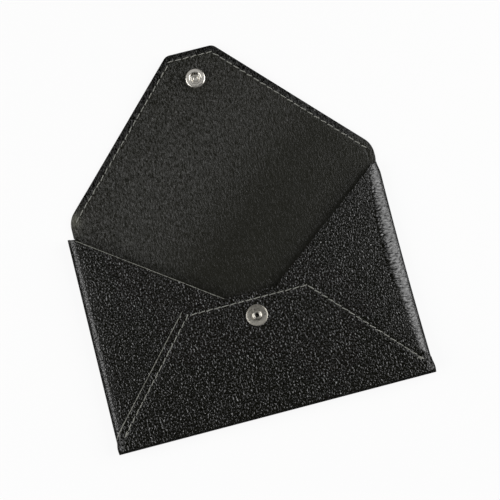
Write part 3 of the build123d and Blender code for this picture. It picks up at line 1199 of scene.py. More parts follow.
@dataclass
class PocketFront:
    """The pocket's front wall: two side flaps folded in and the front flap folded up over them."""

    blank: Blank
    # The side flaps' slanted edges run from here, at the side folds, down to the mouth.
    edge_y: float = 46.2
    mouth_width: float = 22.4
    mouth_shift: float = 1.1
    tip_gap: float = 17.0
    tip_height: float = 6.0
    foot_width: float = 9.0
    # The slanted edge is eased into its fold over this height. This far below the pocket's top, and
    # at the top, these shares of the fold's half turn are left.
    edge_ease: float = 0.5
    top_ease: float = 0.1
    turns_left: tuple[float, float] = (0.62, 0.5)
    front_top_width: float = 55.6
    front_top_shift: float = -0.9
    front_low_y: float = -40.8
    front_radius: float = 2.5
    seam_width: float = 0.6
    thread_width: float = 0.55
    # The left fold was pressed tighter than the right one, and the bottom one tightest.
    left_fold: FoldShape = FoldShape(
        (-43.6, -25.0, 5.0, 47.5), (2.7, 3.3, 3.9, 3.5), pressed=0.3
    )
    right_fold: FoldShape = FoldShape(
        (-43.6, -25.0, 0.0, 20.0, 47.5),
        (3.8, 5.6, 8.6, 8.2, 5.4),
        bow=0.6,
        pressed=0.8,
        pinch=0.7,
    )
    bottom_fold: FoldShape = FoldShape((-70.0, 70.0), (1.4, 1.4))
    # A fold is pressed fully where the flat part beyond it is this long. The flat part counts as
    # no shorter than the second length.
    press_flat: tuple[float, float] = (6.0, 1.0)
    # Middle and half length of a side fold's bow, and how far in from the fold it reaches.
    bow_span: tuple[float, float] = (-5.0, 52.0)
    bow_reach: float = 20.0
    # Where a side fold's pinch starts, and over which length it grows.
    pinch_span: tuple[float, float] = (42.0, 5.5)
    # How far in from a fold its grain starts to be pressed, and over which width that grows.
    pressed_span: tuple[float, float] = (4.5, 6.0)
    # The wall droops towards the right fold, up to an X and over a width, from a Y and over a
    # length.
    droop_depth: float = 0.35
    droop_x: tuple[float, float] = (69.4, 11.0)
    droop_y: tuple[float, float] = (-42.0, 45.0)
    # It waves slightly: the height, the lengths along X and Y for a radian, the distance from the
    # middle at which the waves end and the width over which they do, and the calm round the snap.
    wave_height: float = 0.1
    wave_lengths: tuple[float, float] = (17.0, 21.0)
    wave_end: tuple[float, float] = (60.0, 30.0)
    wave_calm: float = 9.0
    # Over a fold the hide is drawn out, so its grain is this many times longer there.
    drawn_out: float = 1.25
    # How far in from a cut edge its painted highlight reaches.
    edge_highlight_reach: float = 0.3
    # Between its two faces the cut edge bulges by a share of the thickness, at these depths.
    edge_bulge: float = 0.2
    edge_depths: tuple[float, ...] = (0.0, 0.06, 0.25, 0.5, 0.75, 0.94, 1.0)
    # How far the front flap's ends are drawn in over the side folds, from a Y and over a length.
    tuck: float = 0.5
    tuck_y: tuple[float, float] = (-45.0, 4.0)
    # Columns of the grids: round a fold, and across the flat part of each flap. Rows: along each
    # flap, in the side flaps' top corners, whose height follows, and round the front's corners.
    fold_columns: int = 29
    side_columns: int = 44
    front_columns: int = 60
    side_rows: int = 80
    front_rows: int = 110
    top_rows: int = 14
    top_height: float = 1.5
    corner_rows: int = 10

    def droop(self, x: np.ndarray, y: np.ndarray) -> np.ndarray:
        """How far the front wall sinks: a raised cosine towards the right fold, and slow waves.

        Args:
            x: The points' X.
            y: The points' Y.

        Returns:
            The drop below the flat wall.
        """
        up = smooth((y - self.droop_y[0]) / self.droop_y[1])
        right = np.clip((self.droop_x[0] - x) / self.droop_x[1], 0.0, 1.0)
        fall = self.droop_depth * (1 + np.cos(np.pi * right)) / 2
        (wide, long), (end, fade) = self.wave_lengths, self.wave_end
        waves = self.wave_height * (1 + np.sin(x / wide + y / long))
        waves = waves * smooth((end - np.abs(x)) / fade)
        away = np.hypot(x - self.blank.snap_x, y - self.blank.stud_y)
        return up * fall + waves * (1 - bell(away, self.wave_calm))

    def over_side(self, x: np.ndarray) -> np.ndarray:
        """How far the front flap's ends sink round the side folds: a circle's drop over them.

        Args:
            x: The points' X.

        Returns:
            The drop.
        """
        radius = self.blank.side_radius + self.blank.leather
        past = np.clip(np.abs(x) - self.blank.fold_x, 0.0, self.blank.side_radius)
        return radius - np.sqrt(radius**2 - past**2)

    def fold(
        self, length: np.ndarray, radius: float
    ) -> tuple[np.ndarray, np.ndarray, np.ndarray, np.ndarray]:
        """The folded profile: half a circle, then a straight run back over it.

        Args:
            length: Distances along the leather's outer face from the start of the fold.
            radius: The fold's outer radius.

        Returns:
            Distance out from the fold's start and height, then the outward normal's two parts.
        """
        angle = np.minimum(length / radius, math.pi) - math.pi / 2
        flat = np.maximum(length - math.pi * radius, 0.0)
        return (
            radius * np.cos(angle) - flat,
            radius * (1 + np.sin(angle)),
            np.cos(angle),
            np.sin(angle),
        )

    def wrap(
        self, end: np.ndarray, radius: float, wide: np.ndarray, columns: int
    ) -> tuple[np.ndarray, np.ndarray, np.ndarray, np.ndarray]:
        """A folded sheet in section, row by row: its outer face, its cut edge and its inner face.

        The cut edge bulges between its faces as half a circle does, flattened.

        Args:
            end: Each row's length along the outer face.
            radius: The fold's outer radius.
            wide: Each row's reach of the fold's upper quarter.
            columns: How many columns the flat part has.

        Returns:
            Distance out from the fold's start, height and length along the unrolled leather, as
            rows of closed sections, and which columns of faces lie at the cut edge.
        """
        leather = self.blank.leather
        round_end = math.pi * radius
        share = np.linspace(0.0, 1.0, self.fold_columns)[None, :]
        arc = np.minimum(end, round_end)[:, None] * share
        rest = np.maximum(end - round_end, 0.0)[:, None]
        edge_highlight = np.minimum(self.edge_highlight_reach, rest / 2)
        run = arc[:, -1:] + (rest - edge_highlight) * np.linspace(0.0, 1.0, columns)[None, 1:]
        length = np.concatenate([arc, run, run[:, -1:] + edge_highlight], axis=1)
        depth = np.array(self.edge_depths)[None, :]
        bulge = self.edge_bulge * leather * np.sqrt(1 - (2 * depth - 1) ** 2)
        last = np.broadcast_to(length[:, -1:], (len(end), depth.shape[1]))
        path = np.concatenate([length[:, :-1], last, length[:, -2::-1]], axis=1)
        lead = np.zeros((1, length.shape[1] - 1))
        deep = np.concatenate([lead, depth, lead + 1.0], axis=1) * leather
        push = np.concatenate([lead, bulge, lead], axis=1)
        out, height, normal_out, normal_up = self.fold(path, radius)
        out = out - deep * normal_out - push * normal_up
        height = height - deep * normal_up + push * normal_out
        out = self.press(out, height, radius, wide[:, None], rest)
        beyond = path - round_end * (1 - 1 / self.drawn_out)
        unrolled = np.where(path < round_end, path / self.drawn_out, beyond)
        column, first = np.arange(path.shape[1]), lead.shape[1]
        at_edge = (column >= first - 1) & (column < first + depth.shape[1] // 2)
        return out, height, unrolled, at_edge

    def press(
        self, out: np.ndarray, height: np.ndarray, radius: float, wide: np.ndarray, flat: np.ndarray
    ) -> np.ndarray:
        """Presses a fold's upper quarter to an ellipse of another reach.

        The quarter is drawn out from its outermost line by the reach over the radius, and the
        flat part beyond it is shortened or lengthened by as much, so that its cut end stays.

        Args:
            out: Distances out from the fold's start.
            height: Heights of the same points.
            radius: The fold's radius.
            wide: The ellipse's reach.
            flat: Length of the flat part.

        Returns:
            The new distances out.
        """
        full, least = self.press_flat
        held = radius + (wide - radius) * smooth(flat / full)
        arc = radius - (radius - out) * held / radius
        even = (radius - held) + out * (1 + (radius - held) / np.maximum(flat, least))
        drawn = np.where(out > 0.0, arc, even)
        return out + (drawn - out) * smooth((height - radius) / (radius / 2))

    def side_ends(self, side: Side) -> tuple[np.ndarray, np.ndarray, float]:
        """Where a side flap is cut: its length along the outer face at some heights.

        Args:
            side: Which flap.

        Returns:
            The heights, the lengths there, and the Y of the flap's tip.
        """
        blank, sign = self.blank, side.value
        mouth_x = self.mouth_shift + sign * self.mouth_width / 2
        fall = (self.edge_y - blank.front_top_y) / (sign * blank.fold_x - mouth_x)
        tip_x = blank.snap_x + sign * self.tip_gap / 2
        tip_y = blank.front_top_y + (tip_x - mouth_x) * fall
        reach = blank.fold_x - sign * tip_x
        half_turn = math.pi * blank.side_radius
        near, at_top = self.turns_left
        knots = [
            (blank.bottom_y, half_turn + self.foot_width),
            (tip_y - self.tip_height, half_turn + reach),
            (tip_y, half_turn + reach),
            (self.edge_y - self.edge_ease, half_turn + self.edge_ease / abs(fall)),
            (blank.top_y - self.top_ease, half_turn * near),
            (blank.top_y, half_turn * at_top),
        ]
        knot_y, knot_end = np.array(knots).T
        return knot_y, knot_end, tip_y

    def make_side_flap(
        self, side: Side, finish: bpy.types.Material, edge_highlight: bpy.types.Material
    ) -> bpy.types.Object:
        """Builds a side flap: a folded profile carried up the side, cut along a slant.

        Its bow is a parabola along the fold, and its pinch and the bow's reach are smooth steps.

        Args:
            side: Which flap.
            finish: The leather.
            edge_highlight: The finish of the painted highlight on the left flap's slanted cut edge.

        Returns:
            The piece.
        """
        blank, sign = self.blank, side.value
        shape = self.left_fold if side is Side.LEFT else self.right_fold
        knot_y, knot_end, tip_y = self.side_ends(side)
        turn_y = blank.top_y - self.top_height
        spread = np.linspace(blank.bottom_y, turn_y, self.side_rows)
        close = np.linspace(turn_y, blank.top_y, self.top_rows)
        rows = np.unique(np.concatenate([spread, close, knot_y]))
        end = np.interp(rows, knot_y, knot_end)
        wide = np.interp(rows, shape.places, shape.reach)
        out, height, unrolled, at_edge = self.wrap(end, blank.side_radius, wide, self.side_columns)
        (middle, half), (start, length) = self.bow_span, self.pinch_span
        bow = shape.bow * np.clip(1 - ((rows[:, None] - middle) / half) ** 2, 0.0, 1.0)
        bow = bow + shape.pinch * smooth((rows[:, None] - start) / length)
        x = sign * (blank.fold_x + out - bow * smooth((out + self.bow_reach) / self.bow_reach))
        y = np.broadcast_to(rows[:, None], x.shape)
        height = height - self.droop(x, y) * smooth(height / (2 * blank.side_radius))
        points = np.stack([x, y, height], axis=-1)
        flat = np.stack([sign * unrolled, y], axis=-1)
        inner, width = self.pressed_span
        pressed = shape.pressed * smooth((out + inner) / width)
        # Faces along the left flap's slanted cut edge take the second finish, its painted
        # highlight.
        rubbed = (rows[:-1, None] > tip_y) & at_edge[None, :] & (side is Side.LEFT)
        faces = grid_faces(*x.shape, wrapped=True)
        node = f"{side.name.lower()}_side_flap"
        made = Surface(points, faces, [finish, edge_highlight], flat, kinds=rubbed, pressed=pressed)
        piece = made.make(f"{node}_leather")
        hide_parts(node)
        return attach(piece, "pocket")

    def front_corners(self) -> np.ndarray:
        """Corners of the front flap's free edge.

        Returns:
            The corners, from the lower left to the lower right.
        """
        blank, half = self.blank, self.front_top_width / 2
        return np.array(
            [
                (-blank.half_width, self.front_low_y),
                (self.front_top_shift - half, blank.front_top_y),
                (self.front_top_shift + half, blank.front_top_y),
                (blank.half_width, self.front_low_y),
            ]
        )

    def seam(self) -> np.ndarray:
        """The front seam: the free edge moved in, with its ends drawn back to the flat part.

        Returns:
            Its corners.
        """
        line = moved_in(self.front_corners(), self.blank.seam_inset)
        limit = self.blank.fold_x - self.thread_width
        for end, inner in ((0, 1), (-1, -2)):
            over = (abs(line[end, 0]) - limit) / abs(line[end, 0] - line[inner, 0])
            line[end] = line[end] + (line[inner] - line[end]) * over
        return line

    def sunk(self, x: np.ndarray, y: np.ndarray) -> np.ndarray:
        """How far the front flap lies below flat: its droop, its ends' drop and the groove."""
        groove = self.blank.seam_depth * bell(line_distance(x, y, self.seam()), self.seam_width)
        return self.droop(x, y) + self.over_side(x) + groove

    def make_front_flap(
        self, finish: bpy.types.Material, edge_highlight: bpy.types.Material
    ) -> bpy.types.Object:
        """Builds the front flap: a folded profile carried along the bottom, cut to its outline.

        Args:
            finish: The leather.
            edge_highlight: The finish of the painted highlight on its left slanted cut edge.

        Returns:
            The piece.
        """
        blank, corners = self.blank, self.front_corners()
        left, _ = rounded(*corners[:3], self.front_radius, self.corner_rows)
        right, _ = rounded(*corners[1:], self.front_radius, self.corner_rows)
        outline = np.vstack([corners[:1], left, right, corners[-1:]])
        spread = np.linspace(-blank.half_width, blank.half_width, self.front_rows)
        rows = np.unique(np.concatenate([spread, outline[:, 0]]))
        top = np.interp(rows, outline[:, 0], outline[:, 1])
        end = math.pi * blank.bottom_radius + top - blank.bottom_y
        wide = np.interp(rows, self.bottom_fold.places, self.bottom_fold.reach)
        out, height, unrolled, at_edge = self.wrap(
            end, blank.bottom_radius, wide, self.front_columns
        )
        y = blank.bottom_y - out
        x = np.broadcast_to(rows[:, None], y.shape)
        height = height - self.sunk(x, y) * smooth(height / blank.bottom_radius - 1)
        tucked = smooth((np.abs(x) - blank.fold_x) / blank.side_radius)
        tucked = tucked * smooth((y - self.tuck_y[0]) / self.tuck_y[1])
        points = np.stack([x - np.sign(x) * self.tuck * tucked, y, height], axis=-1)
        flat = np.stack([x, unrolled], axis=-1)
        # Faces along the left slanted cut edge take the second finish, its painted highlight.
        rubbed = (rows[:-1, None] < left[0, 0]) & at_edge[None, :]
        faces = grid_faces(*x.shape, wrapped=True)
        made = Surface(points, faces, [finish, edge_highlight], flat, kinds=rubbed)
        piece = made.make("front_flap_leather")
        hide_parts("front_flap")
        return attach(piece, "pocket")


@dataclass
class Seams:
    """The two rows of stitches, on both faces of what they sew."""

    back: BackAndFlap
    front: PocketFront
    pitch: float = 3.5
    front_length: float = 3.3
    flap_length: float = 3.0
    # Each stitch lies at a slight angle across the seam, in degrees, which varies by some radians.
    slant: float = 6.0
    slant_spread: float = 0.05
    width: float = 0.44
    height: float = 0.26
    # A stitch's middle lies at a share of its height. Towards its ends it dives by another share,
    # and its section's square shrinks by a third one.
    middle_share: float = 0.5
    dive_share: float = 0.9
    slim_share: float = 0.75
    rings: int = 9
    sides: int = 8
    root_gap: float = 2.0
    # The last stitch at each end of the front seam is sewn twice, at a slight angle.
    locked_turn: float = 13.0
    # What the stitches' slight differences start from.
    front_seed: int = 11
    flap_seed: int = 23

    def places(self, line: np.ndarray) -> tuple[np.ndarray, np.ndarray]:
        """Middles and directions of stitches spaced evenly along a line.

        Args:
            line: The line's corners.

        Returns:
            The stitches' middles and unit directions.
        """
        run = np.diff(line, axis=0)
        size = np.linalg.norm(run, axis=1)
        far = np.concatenate([[0.0], np.cumsum(size)])
        count = max(1, round(far[-1] / self.pitch))
        at = (np.arange(count) + 0.5) / count * far[-1]
        middle = np.stack([np.interp(at, far, line[:, 0]), np.interp(at, far, line[:, 1])], axis=-1)
        index = np.clip(np.searchsorted(far, at, side="right") - 1, 0, len(run) - 1)
        return middle, run[index] / size[index][:, None]

    def locked(self, middle: np.ndarray, along: np.ndarray) -> tuple[np.ndarray, np.ndarray]:
        """Adds the doubled stitches: copies of the end ones, turned about the seam's ends.

        Args:
            middle: The stitches' middles.
            along: Their directions.

        Returns:
            Middles and directions with the doubled ones added.
        """
        angle = math.radians(self.locked_turn)
        spin = np.array([[math.cos(angle), math.sin(angle)], [-math.sin(angle), math.cos(angle)]])
        turned = np.stack([spin @ along[0], spin.T @ along[-1]])
        first = middle[0] - along[0] * self.pitch / 2
        last = middle[-1] + along[-1] * self.pitch / 2
        inward = np.array([[1.0], [-1.0]])
        moved = np.stack([first, last]) + turned * inward * self.pitch / 2
        return np.vstack([middle, moved]), np.vstack([along, turned])

    def stitch(self, length: float) -> tuple[np.ndarray, np.ndarray]:
        """One stitch along X: an oval section carried along an arch whose ends dive in.

        The arch falls with the fourth power of the distance from the middle, and the section's
        square with the eighth.

        Args:
            length: The stitch's length.

        Returns:
            A grid of points, rows along the stitch, and its map: along it and round it.
        """
        along = np.linspace(-1.0, 1.0, self.rings)[:, None]
        turn = np.radians(np.arange(self.sides + 1) * 360.0 / self.sides)[None, :]
        slim = np.sqrt(np.clip(1 - self.slim_share * along**8, 0.0, 1.0))
        rise = self.height * (self.middle_share - self.dive_share * along**4)
        x = along * length / 2 + 0 * turn
        y = slim * np.cos(turn) * self.width / 2
        z = rise + slim * np.sin(turn) * self.height / 2
        flat = np.stack([x, self.width / 2 * turn + 0 * x], axis=-1)
        return np.stack([x, y, z], axis=-1), flat

    def sew(
        self,
        seed: int,
        length: float,
        middle: np.ndarray,
        along: np.ndarray,
        level: np.ndarray,
        face: Face,
        finish: bpy.types.Material,
    ) -> Surface:
        """Sets one stitch at each place.

        Args:
            seed: Starts the stitches' slight differences.
            length: Length of a stitch.
            middle: The stitches' middles.
            along: Their directions.
            level: Height of the face below each.
            face: Which way they stand out.
            finish: The thread.

        Returns:
            All the stitches as one surface.
        """
        chance = np.random.default_rng(seed)
        turn = math.radians(self.slant) + chance.normal(0.0, self.slant_spread, len(middle))
        along = np.stack(
            [
                along[:, 0] * np.cos(turn) - along[:, 1] * np.sin(turn),
                along[:, 0] * np.sin(turn) + along[:, 1] * np.cos(turn),
            ],
            axis=-1,
        )
        across = np.stack([-along[:, 1], along[:, 0]], axis=-1)
        one, flat = self.stitch(length)
        xy = (
            middle[:, None, None]
            + along[:, None, None] * one[None, ..., :1]
            + across[:, None, None] * one[None, ..., 1:2]
        )
        z = level[:, None, None] + face.value * one[None, ..., 2]
        points = np.concatenate([xy, z[..., None]], axis=-1)
        quads = grid_faces(*one.shape[:2])
        size = one.shape[0] * one.shape[1]
        faces = (quads[None] + (np.arange(len(middle)) * size)[:, None, None]).reshape(-1, 4)
        spots = np.broadcast_to(flat, (len(middle), *flat.shape))
        return Surface(points, faces, [finish], spots, PLY_MAP)

    def make_front(self, face: Face, finish: bpy.types.Material) -> bpy.types.Object:
        """Builds the front flap's stitches on one face.

        Args:
            face: Which face.
            finish: The thread.

        Returns:
            The piece.
        """
        front, blank = self.front, self.front.blank
        middle, along = self.places(front.seam())
        if face is Face.UPPER:
            middle, along = self.locked(middle, along)
        x, y = middle.T
        level = 2 * blank.bottom_radius - front.sunk(x, y)
        if face is Face.UNDER:
            # Between the side flaps' tips the seam goes through one layer, and elsewhere two.
            between = np.abs(x - blank.snap_x) < front.tip_gap / 2
            level = level - blank.leather * np.where(between, 1.0, 2.0)
        under = "" if face is Face.UPPER else "under_"
        sewn = self.sew(self.front_seed, self.front_length, middle, along, level, face, finish)
        piece = sewn.make(f"front_seam_{under}stitches")
        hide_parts(f"front_seam_{under}thread")
        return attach(piece, "pocket")

    def make_flap(self, face: Face, finish: bpy.types.Material) -> bpy.types.Object:
        """Builds the closing flap's stitches on one face.

        Args:
            face: Which face.
            finish: The thread.

        Returns:
            The piece.
        """
        back, blank = self.back, self.back.blank
        line = moved_in(back.corners(), blank.seam_inset)
        line[[0, -1], 1] = blank.root_y + self.root_gap
        middle, along = self.places(line)
        top = blank.leather + blank.lining - blank.seam_depth
        level = np.full(len(middle), top if face is Face.UPPER else blank.seam_depth)
        level = level + back.wave(*middle.T)
        if face is Face.UPPER:
            level = level + back.raised(*middle.T)
        sewn = self.sew(self.flap_seed, self.flap_length, middle, along, level, face, finish)
        sewn.points = back.crease.lay(sewn.points)
        under = "" if face is Face.UPPER else "under_"
        piece = sewn.make(f"flap_seam_{under}stitches")
        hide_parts(f"flap_seam_{under}thread")
        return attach(piece, "flap")


def oval(centre: tuple[float, float], reach: tuple[float, float], start: float, end: float) -> list:
    """Part of an ellipse in a turned part's section: its centre plus its reach by cosine and sine.

    Args:
        centre: Radius and height of its middle.
        reach: Its half axes along the radius and the height.
        start: The first angle in degrees.
        end: The last angle in degrees.

    Returns:
        Points of radius and height.
    """
    angles = np.radians(np.linspace(start, end, OVAL_STEPS))
    points = np.stack([np.cos(angles), np.sin(angles)], axis=-1) * reach + centre
    return points.tolist()


@dataclass
class Snap:
    """The press snap: a stud on the front flap, and a socket on the closing flap's lining.

    A size called flat is a radius, one called high or low is a height above the piece's base, and a
    pair is a rounding's half axes along the radius and the height.
    """

    blank: Blank
    crease: Crease
    stud_base: float = 7.6
    eyelet_base: float = 6.9
    socket_base: float = 1.2
    # Radii that the pieces share: the hole that a post goes through, the post's shank, its bore
    # and its rolled lip, with the lip's rounding and the thickness of a post's flange.
    hole: float = 1.25
    shank: float = 1.2
    bore: float = 0.9
    lip: float = 1.55
    lip_round: tuple[float, float] = (0.3, 0.15)
    flange_thickness: float = 0.35
    # The stud, from its beaded rim over its dished face to its neck and its head.
    stud_flat: float = 4.7
    bead: tuple[float, float] = (0.25, 0.22)
    bead_high: float = 0.5
    dish_in: float = 0.35
    dish_high: float = 0.52
    neck: float = 1.6
    neck_round: tuple[float, float] = (0.5, 0.24)
    neck_low: float = 0.6
    neck_foot: float = 0.1
    neck_high: float = 1.4
    ball: float = 2.15
    ball_round: tuple[float, float] = (0.65, 0.5)
    ball_high: float = 1.8
    # The eyelet.
    eyelet_flat: float = 4.0
    eyelet_round: float = 0.15
    eyelet_high: float = 3.0
    throat_round: tuple[float, float] = (0.2, 0.3)
    throat_drop: float = 0.2
    # The socket, from its foot over its shoulder to its mouth and back inside.
    socket_flat: float = 4.4
    foot_round: float = 0.1
    shoulder_round: float = 0.5
    shoulder_high: float = 1.85
    mouth: float = 2.4
    mouth_round: tuple[float, float] = (0.6, 0.3)
    mouth_high: float = 2.2
    mouth_low: float = 2.12
    cavity: float = 3.7
    cavity_round: float = 0.1
    cavity_high: float = 2.1
    floor_high: float = 0.3
    # The cap's rivet, with the dish in its end.
    rivet_flat: float = 4.13
    rivet_round: float = 0.1
    rivet_high: float = 1.5
    end_high: float = 1.55
    end_depth: float = 0.2
    end_past_bore: float = 0.15
    turns: int = 64

    def stud_section(self) -> list:
        """The stud: a flange with a beaded rim, a dished face, a neck and a round head.

        Returns:
            Points of radius and height.
        """
        rim = self.stud_flat - self.bead[0]
        foot = self.neck + self.neck_round[0]
        return [
            (self.hole, 0.0),
            (self.stud_flat, 0.0),
            *oval((rim, self.bead_high), self.bead, 0.0, 170.0),
            (rim - self.dish_in, self.dish_high),
            (foot + self.neck_foot, self.neck_low - self.neck_round[1]),
            *oval((foot, self.neck_low), self.neck_round, -90.0, -180.0),
            (self.neck, self.neck_high),
            *oval((self.ball - self.ball_round[0], self.ball_high), self.ball_round, -60.0, 90.0),
            (self.hole, self.ball_high + self.ball_round[1]),
        ]

    def post_section(self, flat: float, corner: float, high: float, inner: float) -> list:
        """The outside of a post: a flange with a rounded edge, a shank and a rolled lip.

        Args:
            flat: The flange's radius.
            corner: The rounding of its lower edge.
            high: Height of the shank.
            inner: Radius at which the flange's lower face starts.

        Returns:
            Points of radius and height.
        """
        low = -self.flange_thickness
        return [
            (inner, low),
            *oval((flat - corner, low + corner), (corner, corner), -90.0, 0.0),
            (flat, 0.0),
            (self.shank, 0.0),
            (self.shank, high),
            *oval((self.lip - self.lip_round[0], high), self.lip_round, 0.0, 120.0),
        ]

    def eyelet_section(self) -> list:
        """The stud's hollow post, with a flange inside the pocket and a rounded throat.

        Returns:
            Points of radius and height.
        """
        throat = (self.bore + self.throat_round[0], self.eyelet_high - self.throat_drop)
        return [
            *self.post_section(self.eyelet_flat, self.eyelet_round, self.eyelet_high, self.bore),
            *oval(throat, self.throat_round, 100.0, 180.0),
        ]

    def socket_section(self) -> list:
        """The socket: a hollow disc with a domed shoulder and a rolled mouth.

        Returns:
            Points of radius and height.
        """
        foot, shoulder = self.foot_round, self.shoulder_round
        mouth = (self.mouth + self.mouth_round[0], self.mouth_high)
        return [
            (self.hole, 0.0),
            *oval((self.socket_flat - foot, foot), (foot, foot), -90.0, 0.0),
            *oval(
                (self.socket_flat - shoulder, self.shoulder_high), (shoulder, shoulder), 0.0, 80.0
            ),
            *oval(mouth, self.mouth_round, 95.0, 180.0),
            (self.mouth, self.mouth_low),
            (self.cavity - self.cavity_round, self.cavity_high),
            (self.cavity, self.cavity_high - self.cavity_round),
            (self.cavity, self.floor_high),
            (self.hole, self.floor_high),
        ]

    def rivet_section(self) -> list:
        """The cap's post, with a flange inside the cap and a dished end.

        Returns:
            Points of radius and height.
        """
        dish = (self.bore + self.end_past_bore, self.end_depth)
        return [
            *self.post_section(self.rivet_flat, self.rivet_round, self.rivet_high, 0.0),
            *oval((0.0, self.end_high), dish, 0.0, -90.0),
        ]

    def turn(self, section: list, y: float, base: float, finish: bpy.types.Material) -> Surface:
        """Turns a section round an upright axis.

        Args:
            section: Points of radius and height above the base, in order round the section.
            y: The axis's Y.
            base: Height of the base.
            finish: The metal.

        Returns:
            The surface.
        """
        radius, height = np.array([tuple(point) for point in section]).T[:, None, :]
        angle = np.linspace(0.0, 2 * math.pi, self.turns + 1)[:, None]
        x = self.blank.snap_x + radius * np.cos(angle)
        points = np.stack([x, y + radius * np.sin(angle), base + height + 0 * angle], axis=-1)
        return Surface(points, grid_faces(*x.shape, wrapped=True), [finish])

    def make_stud(self, finish: bpy.types.Material) -> list[bpy.types.Object]:
        """Builds the stud and its eyelet on the pocket.

        Args:
            finish: The plating.

        Returns:
            The two pieces.
        """
        y, pieces = self.blank.stud_y, []
        for section, base, name, node in (
            (self.stud_section(), self.stud_base, "stud", "snap_stud"),
            (self.eyelet_section(), self.eyelet_base, "stud_eyelet", "snap_stud_post"),
        ):
            piece = self.turn(section, y, base, finish).make(name)
            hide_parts(node)
            pieces.append(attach(piece, "pocket"))
        return pieces

    def make_socket(self, finish: bpy.types.Material) -> list[bpy.types.Object]:
        """Builds the socket and the cap's rivet on the closing flap.

        Args:
            finish: The plating.

        Returns:
            The two pieces.
        """
        y, pieces = self.crease.facing(self.blank.stud_y), []
        for section, base, name, node in (
            (self.socket_section(), self.socket_base, "socket_shell", "snap_socket"),
            (self.rivet_section(), 0.0, "cap_rivet", "snap_cap_post"),
        ):
            made = self.turn(section, y, base, finish)
            made.points = self.crease.lay(made.points)
            piece = made.make(name)
            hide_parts(node)
            pieces.append(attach(piece, "flap"))
        return pieces

    def dress(self, plate: bpy.types.Material, wire: bpy.types.Material) -> None:
        """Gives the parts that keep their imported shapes, the cap and the springs, their finishes.

        Args:
            plate: The plating.
            wire: The spring wire.
        """
        for name, finish in (("snap_cap", plate), ("snap_springs", wire)):
            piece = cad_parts[name]
            piece.data.materials.clear()
            piece.data.materials.append(finish)
            LOG.info("dressed %s", name)


@dataclass(frozen=True)
class Lamp:
    """An oblong soft light: where it hangs, its width and height, and its power in watts."""

    name: str
    place: tuple[float, float, float]
    size: tuple[float, float]
    power: float


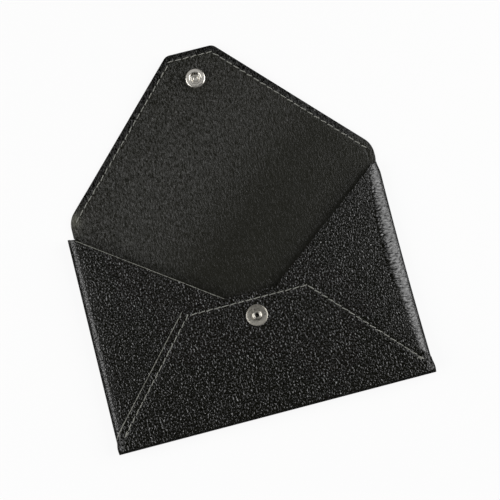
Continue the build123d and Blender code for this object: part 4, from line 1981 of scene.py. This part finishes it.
@dataclass
class Studio:
    """The white floor, the soft lights and the camera, which sees what the photo shows."""

    camera_at: tuple[float, float, float] = (-8.3, -16.6, 436.6)
    look: tuple[float, float, float] = (0.0323, 0.0924, -0.9952)
    up: tuple[float, float, float] = (0.2495, 0.9635, 0.0975)
    lens: float = 72.0
    clip: tuple[float, float] = (10.0, 20000.0)
    # The floor lies just below the wallet.
    floor_size: float = 4000.0
    floor_z: float = -0.02
    sky: str = "#4a4a4a"
    # The lamps face the middle of the open wallet.
    lamps_aim: tuple[float, float, float] = (0.0, 30.0, 0.0)
    lamps: tuple[Lamp, ...] = (
        Lamp("key", (640.0, 40.0, 430.0), (680.0, 640.0), 4.5),
        Lamp("fill", (-600.0, 20.0, 440.0), (660.0, 560.0), 3.7),
        Lamp("upper", (520.0, 60.0, 800.0), (200.0, 200.0), 0.3),
        Lamp("top", (-60.0, 420.0, 900.0), (700.0, 700.0), 0.5),
    )

    def make_floor(self) -> bpy.types.Object:
        """Builds the floor: a flat grid.

        Returns:
            The floor.
        """
        side = np.linspace(-self.floor_size / 2, self.floor_size / 2, 3)
        x, y = np.meshgrid(side, side, indexing="ij")
        points = np.stack([x, y, np.full(x.shape, self.floor_z)], axis=-1)
        mesh = bpy.data.meshes.new("floor")
        faces = grid_faces(*x.shape)
        mesh.from_pydata((points.reshape(-1, 3) * MM).tolist(), [], faces.tolist())
        floor = bpy.data.objects.new("floor", mesh)
        floor.data.materials.append(PaperFloor().material())
        bpy.context.scene.collection.objects.link(floor)
        return floor

    def make_light(self, lamp: Lamp) -> bpy.types.Object:
        """Adds a soft light that faces the middle of the wallet.

        Args:
            lamp: What it is and where it hangs.

        Returns:
            The light.
        """
        data = bpy.data.lights.new(lamp.name, "AREA")
        data.shape = "RECTANGLE"
        data.size, data.size_y = lamp.size[0] * MM, lamp.size[1] * MM
        data.energy = lamp.power
        light = bpy.data.objects.new(lamp.name, data)
        light.location = Vector(lamp.place) * MM
        aim = Vector(self.lamps_aim) * MM - light.location
        light.rotation_euler = aim.to_track_quat("-Z", "Y").to_euler()
        bpy.context.scene.collection.objects.link(light)
        return light

    def make_world(self) -> None:
        """Makes the even light from all round, which the camera sees as white."""
        world = bpy.data.worlds.new("studio")
        world.use_nodes = True
        tree = world.node_tree
        tree.nodes.clear()
        seen = add_node(tree, "LightPath", {}).outputs["Is Camera Ray"]
        room = add_node(tree, "Background", {"Color": linear(self.sky)})
        white = add_node(tree, "Background", {"Color": (1.0, 1.0, 1.0, 1.0)})
        both = add_node(tree, "MixShader", {0: seen, 1: room, 2: white})
        add_node(tree, "OutputWorld", {"Surface": both})
        bpy.context.scene.world = world

    def make_camera(self) -> bpy.types.Object:
        """Sets the camera where the photo was taken from.

        Returns:
            The camera.
        """
        data = bpy.data.cameras.new("camera")
        data.lens = self.lens
        data.clip_start, data.clip_end = (distance * MM for distance in self.clip)
        camera = bpy.data.objects.new("camera", data)
        ahead = Vector(self.look).normalized()
        right = ahead.cross(Vector(self.up)).normalized()
        turn = Matrix((right, right.cross(ahead), -ahead)).transposed().to_4x4()
        camera.matrix_world = Matrix.Translation(Vector(self.camera_at) * MM) @ turn
        bpy.context.scene.collection.objects.link(camera)
        bpy.context.scene.camera = camera
        return camera

    def build(self) -> None:
        """Sets up everything round the wallet."""
        self.make_floor()
        self.make_world()
        for lamp in self.lamps:
            self.make_light(lamp)
        self.make_camera()
        bpy.context.scene.view_settings.view_transform = "Standard"


def main() -> None:
    """Builds the wallet piece by piece, then the studio round it."""
    logging.basicConfig(level=logging.INFO)
    outside = PebbleLeather().material()
    # A pale line painted along the left cut edges: a painted highlight.
    edge_highlight = PaintedEdgeHighlight().material()
    lining = LiningLeather().material()
    thread = SewingThread().material()
    plate = PlatedMetal("nickel_plated_brass", "#f7f3ea", 0.27).material()
    rubbed = PlatedMetal("rubbed_nickel_plate", "#c9c5bb", 0.34).material()
    wire = PlatedMetal("drawn_spring_wire", "#cfccc6", 0.25).material()
    blank = Blank.measured()
    crease = Crease(blank)
    back = BackAndFlap(blank, crease)
    front = PocketFront(blank)
    seams = Seams(back, front)
    snap = Snap(blank, crease)
    pieces = [
        back.make_leather(outside),
        back.make_lining(lining),
        front.make_side_flap(Side.LEFT, outside, edge_highlight),
        front.make_side_flap(Side.RIGHT, outside, edge_highlight),
        front.make_front_flap(outside, edge_highlight),
        *(seams.make_front(face, thread) for face in Face),
        *(seams.make_flap(face, thread) for face in Face),
        *snap.make_stud(rubbed),
        *snap.make_socket(plate),
    ]
    for piece in pieces:
        LOG.info("built %s with %d faces", piece.name, len(piece.data.polygons))
    snap.dress(plate, wire)
    Studio().build()


if __name__ == "__main__":
    main()
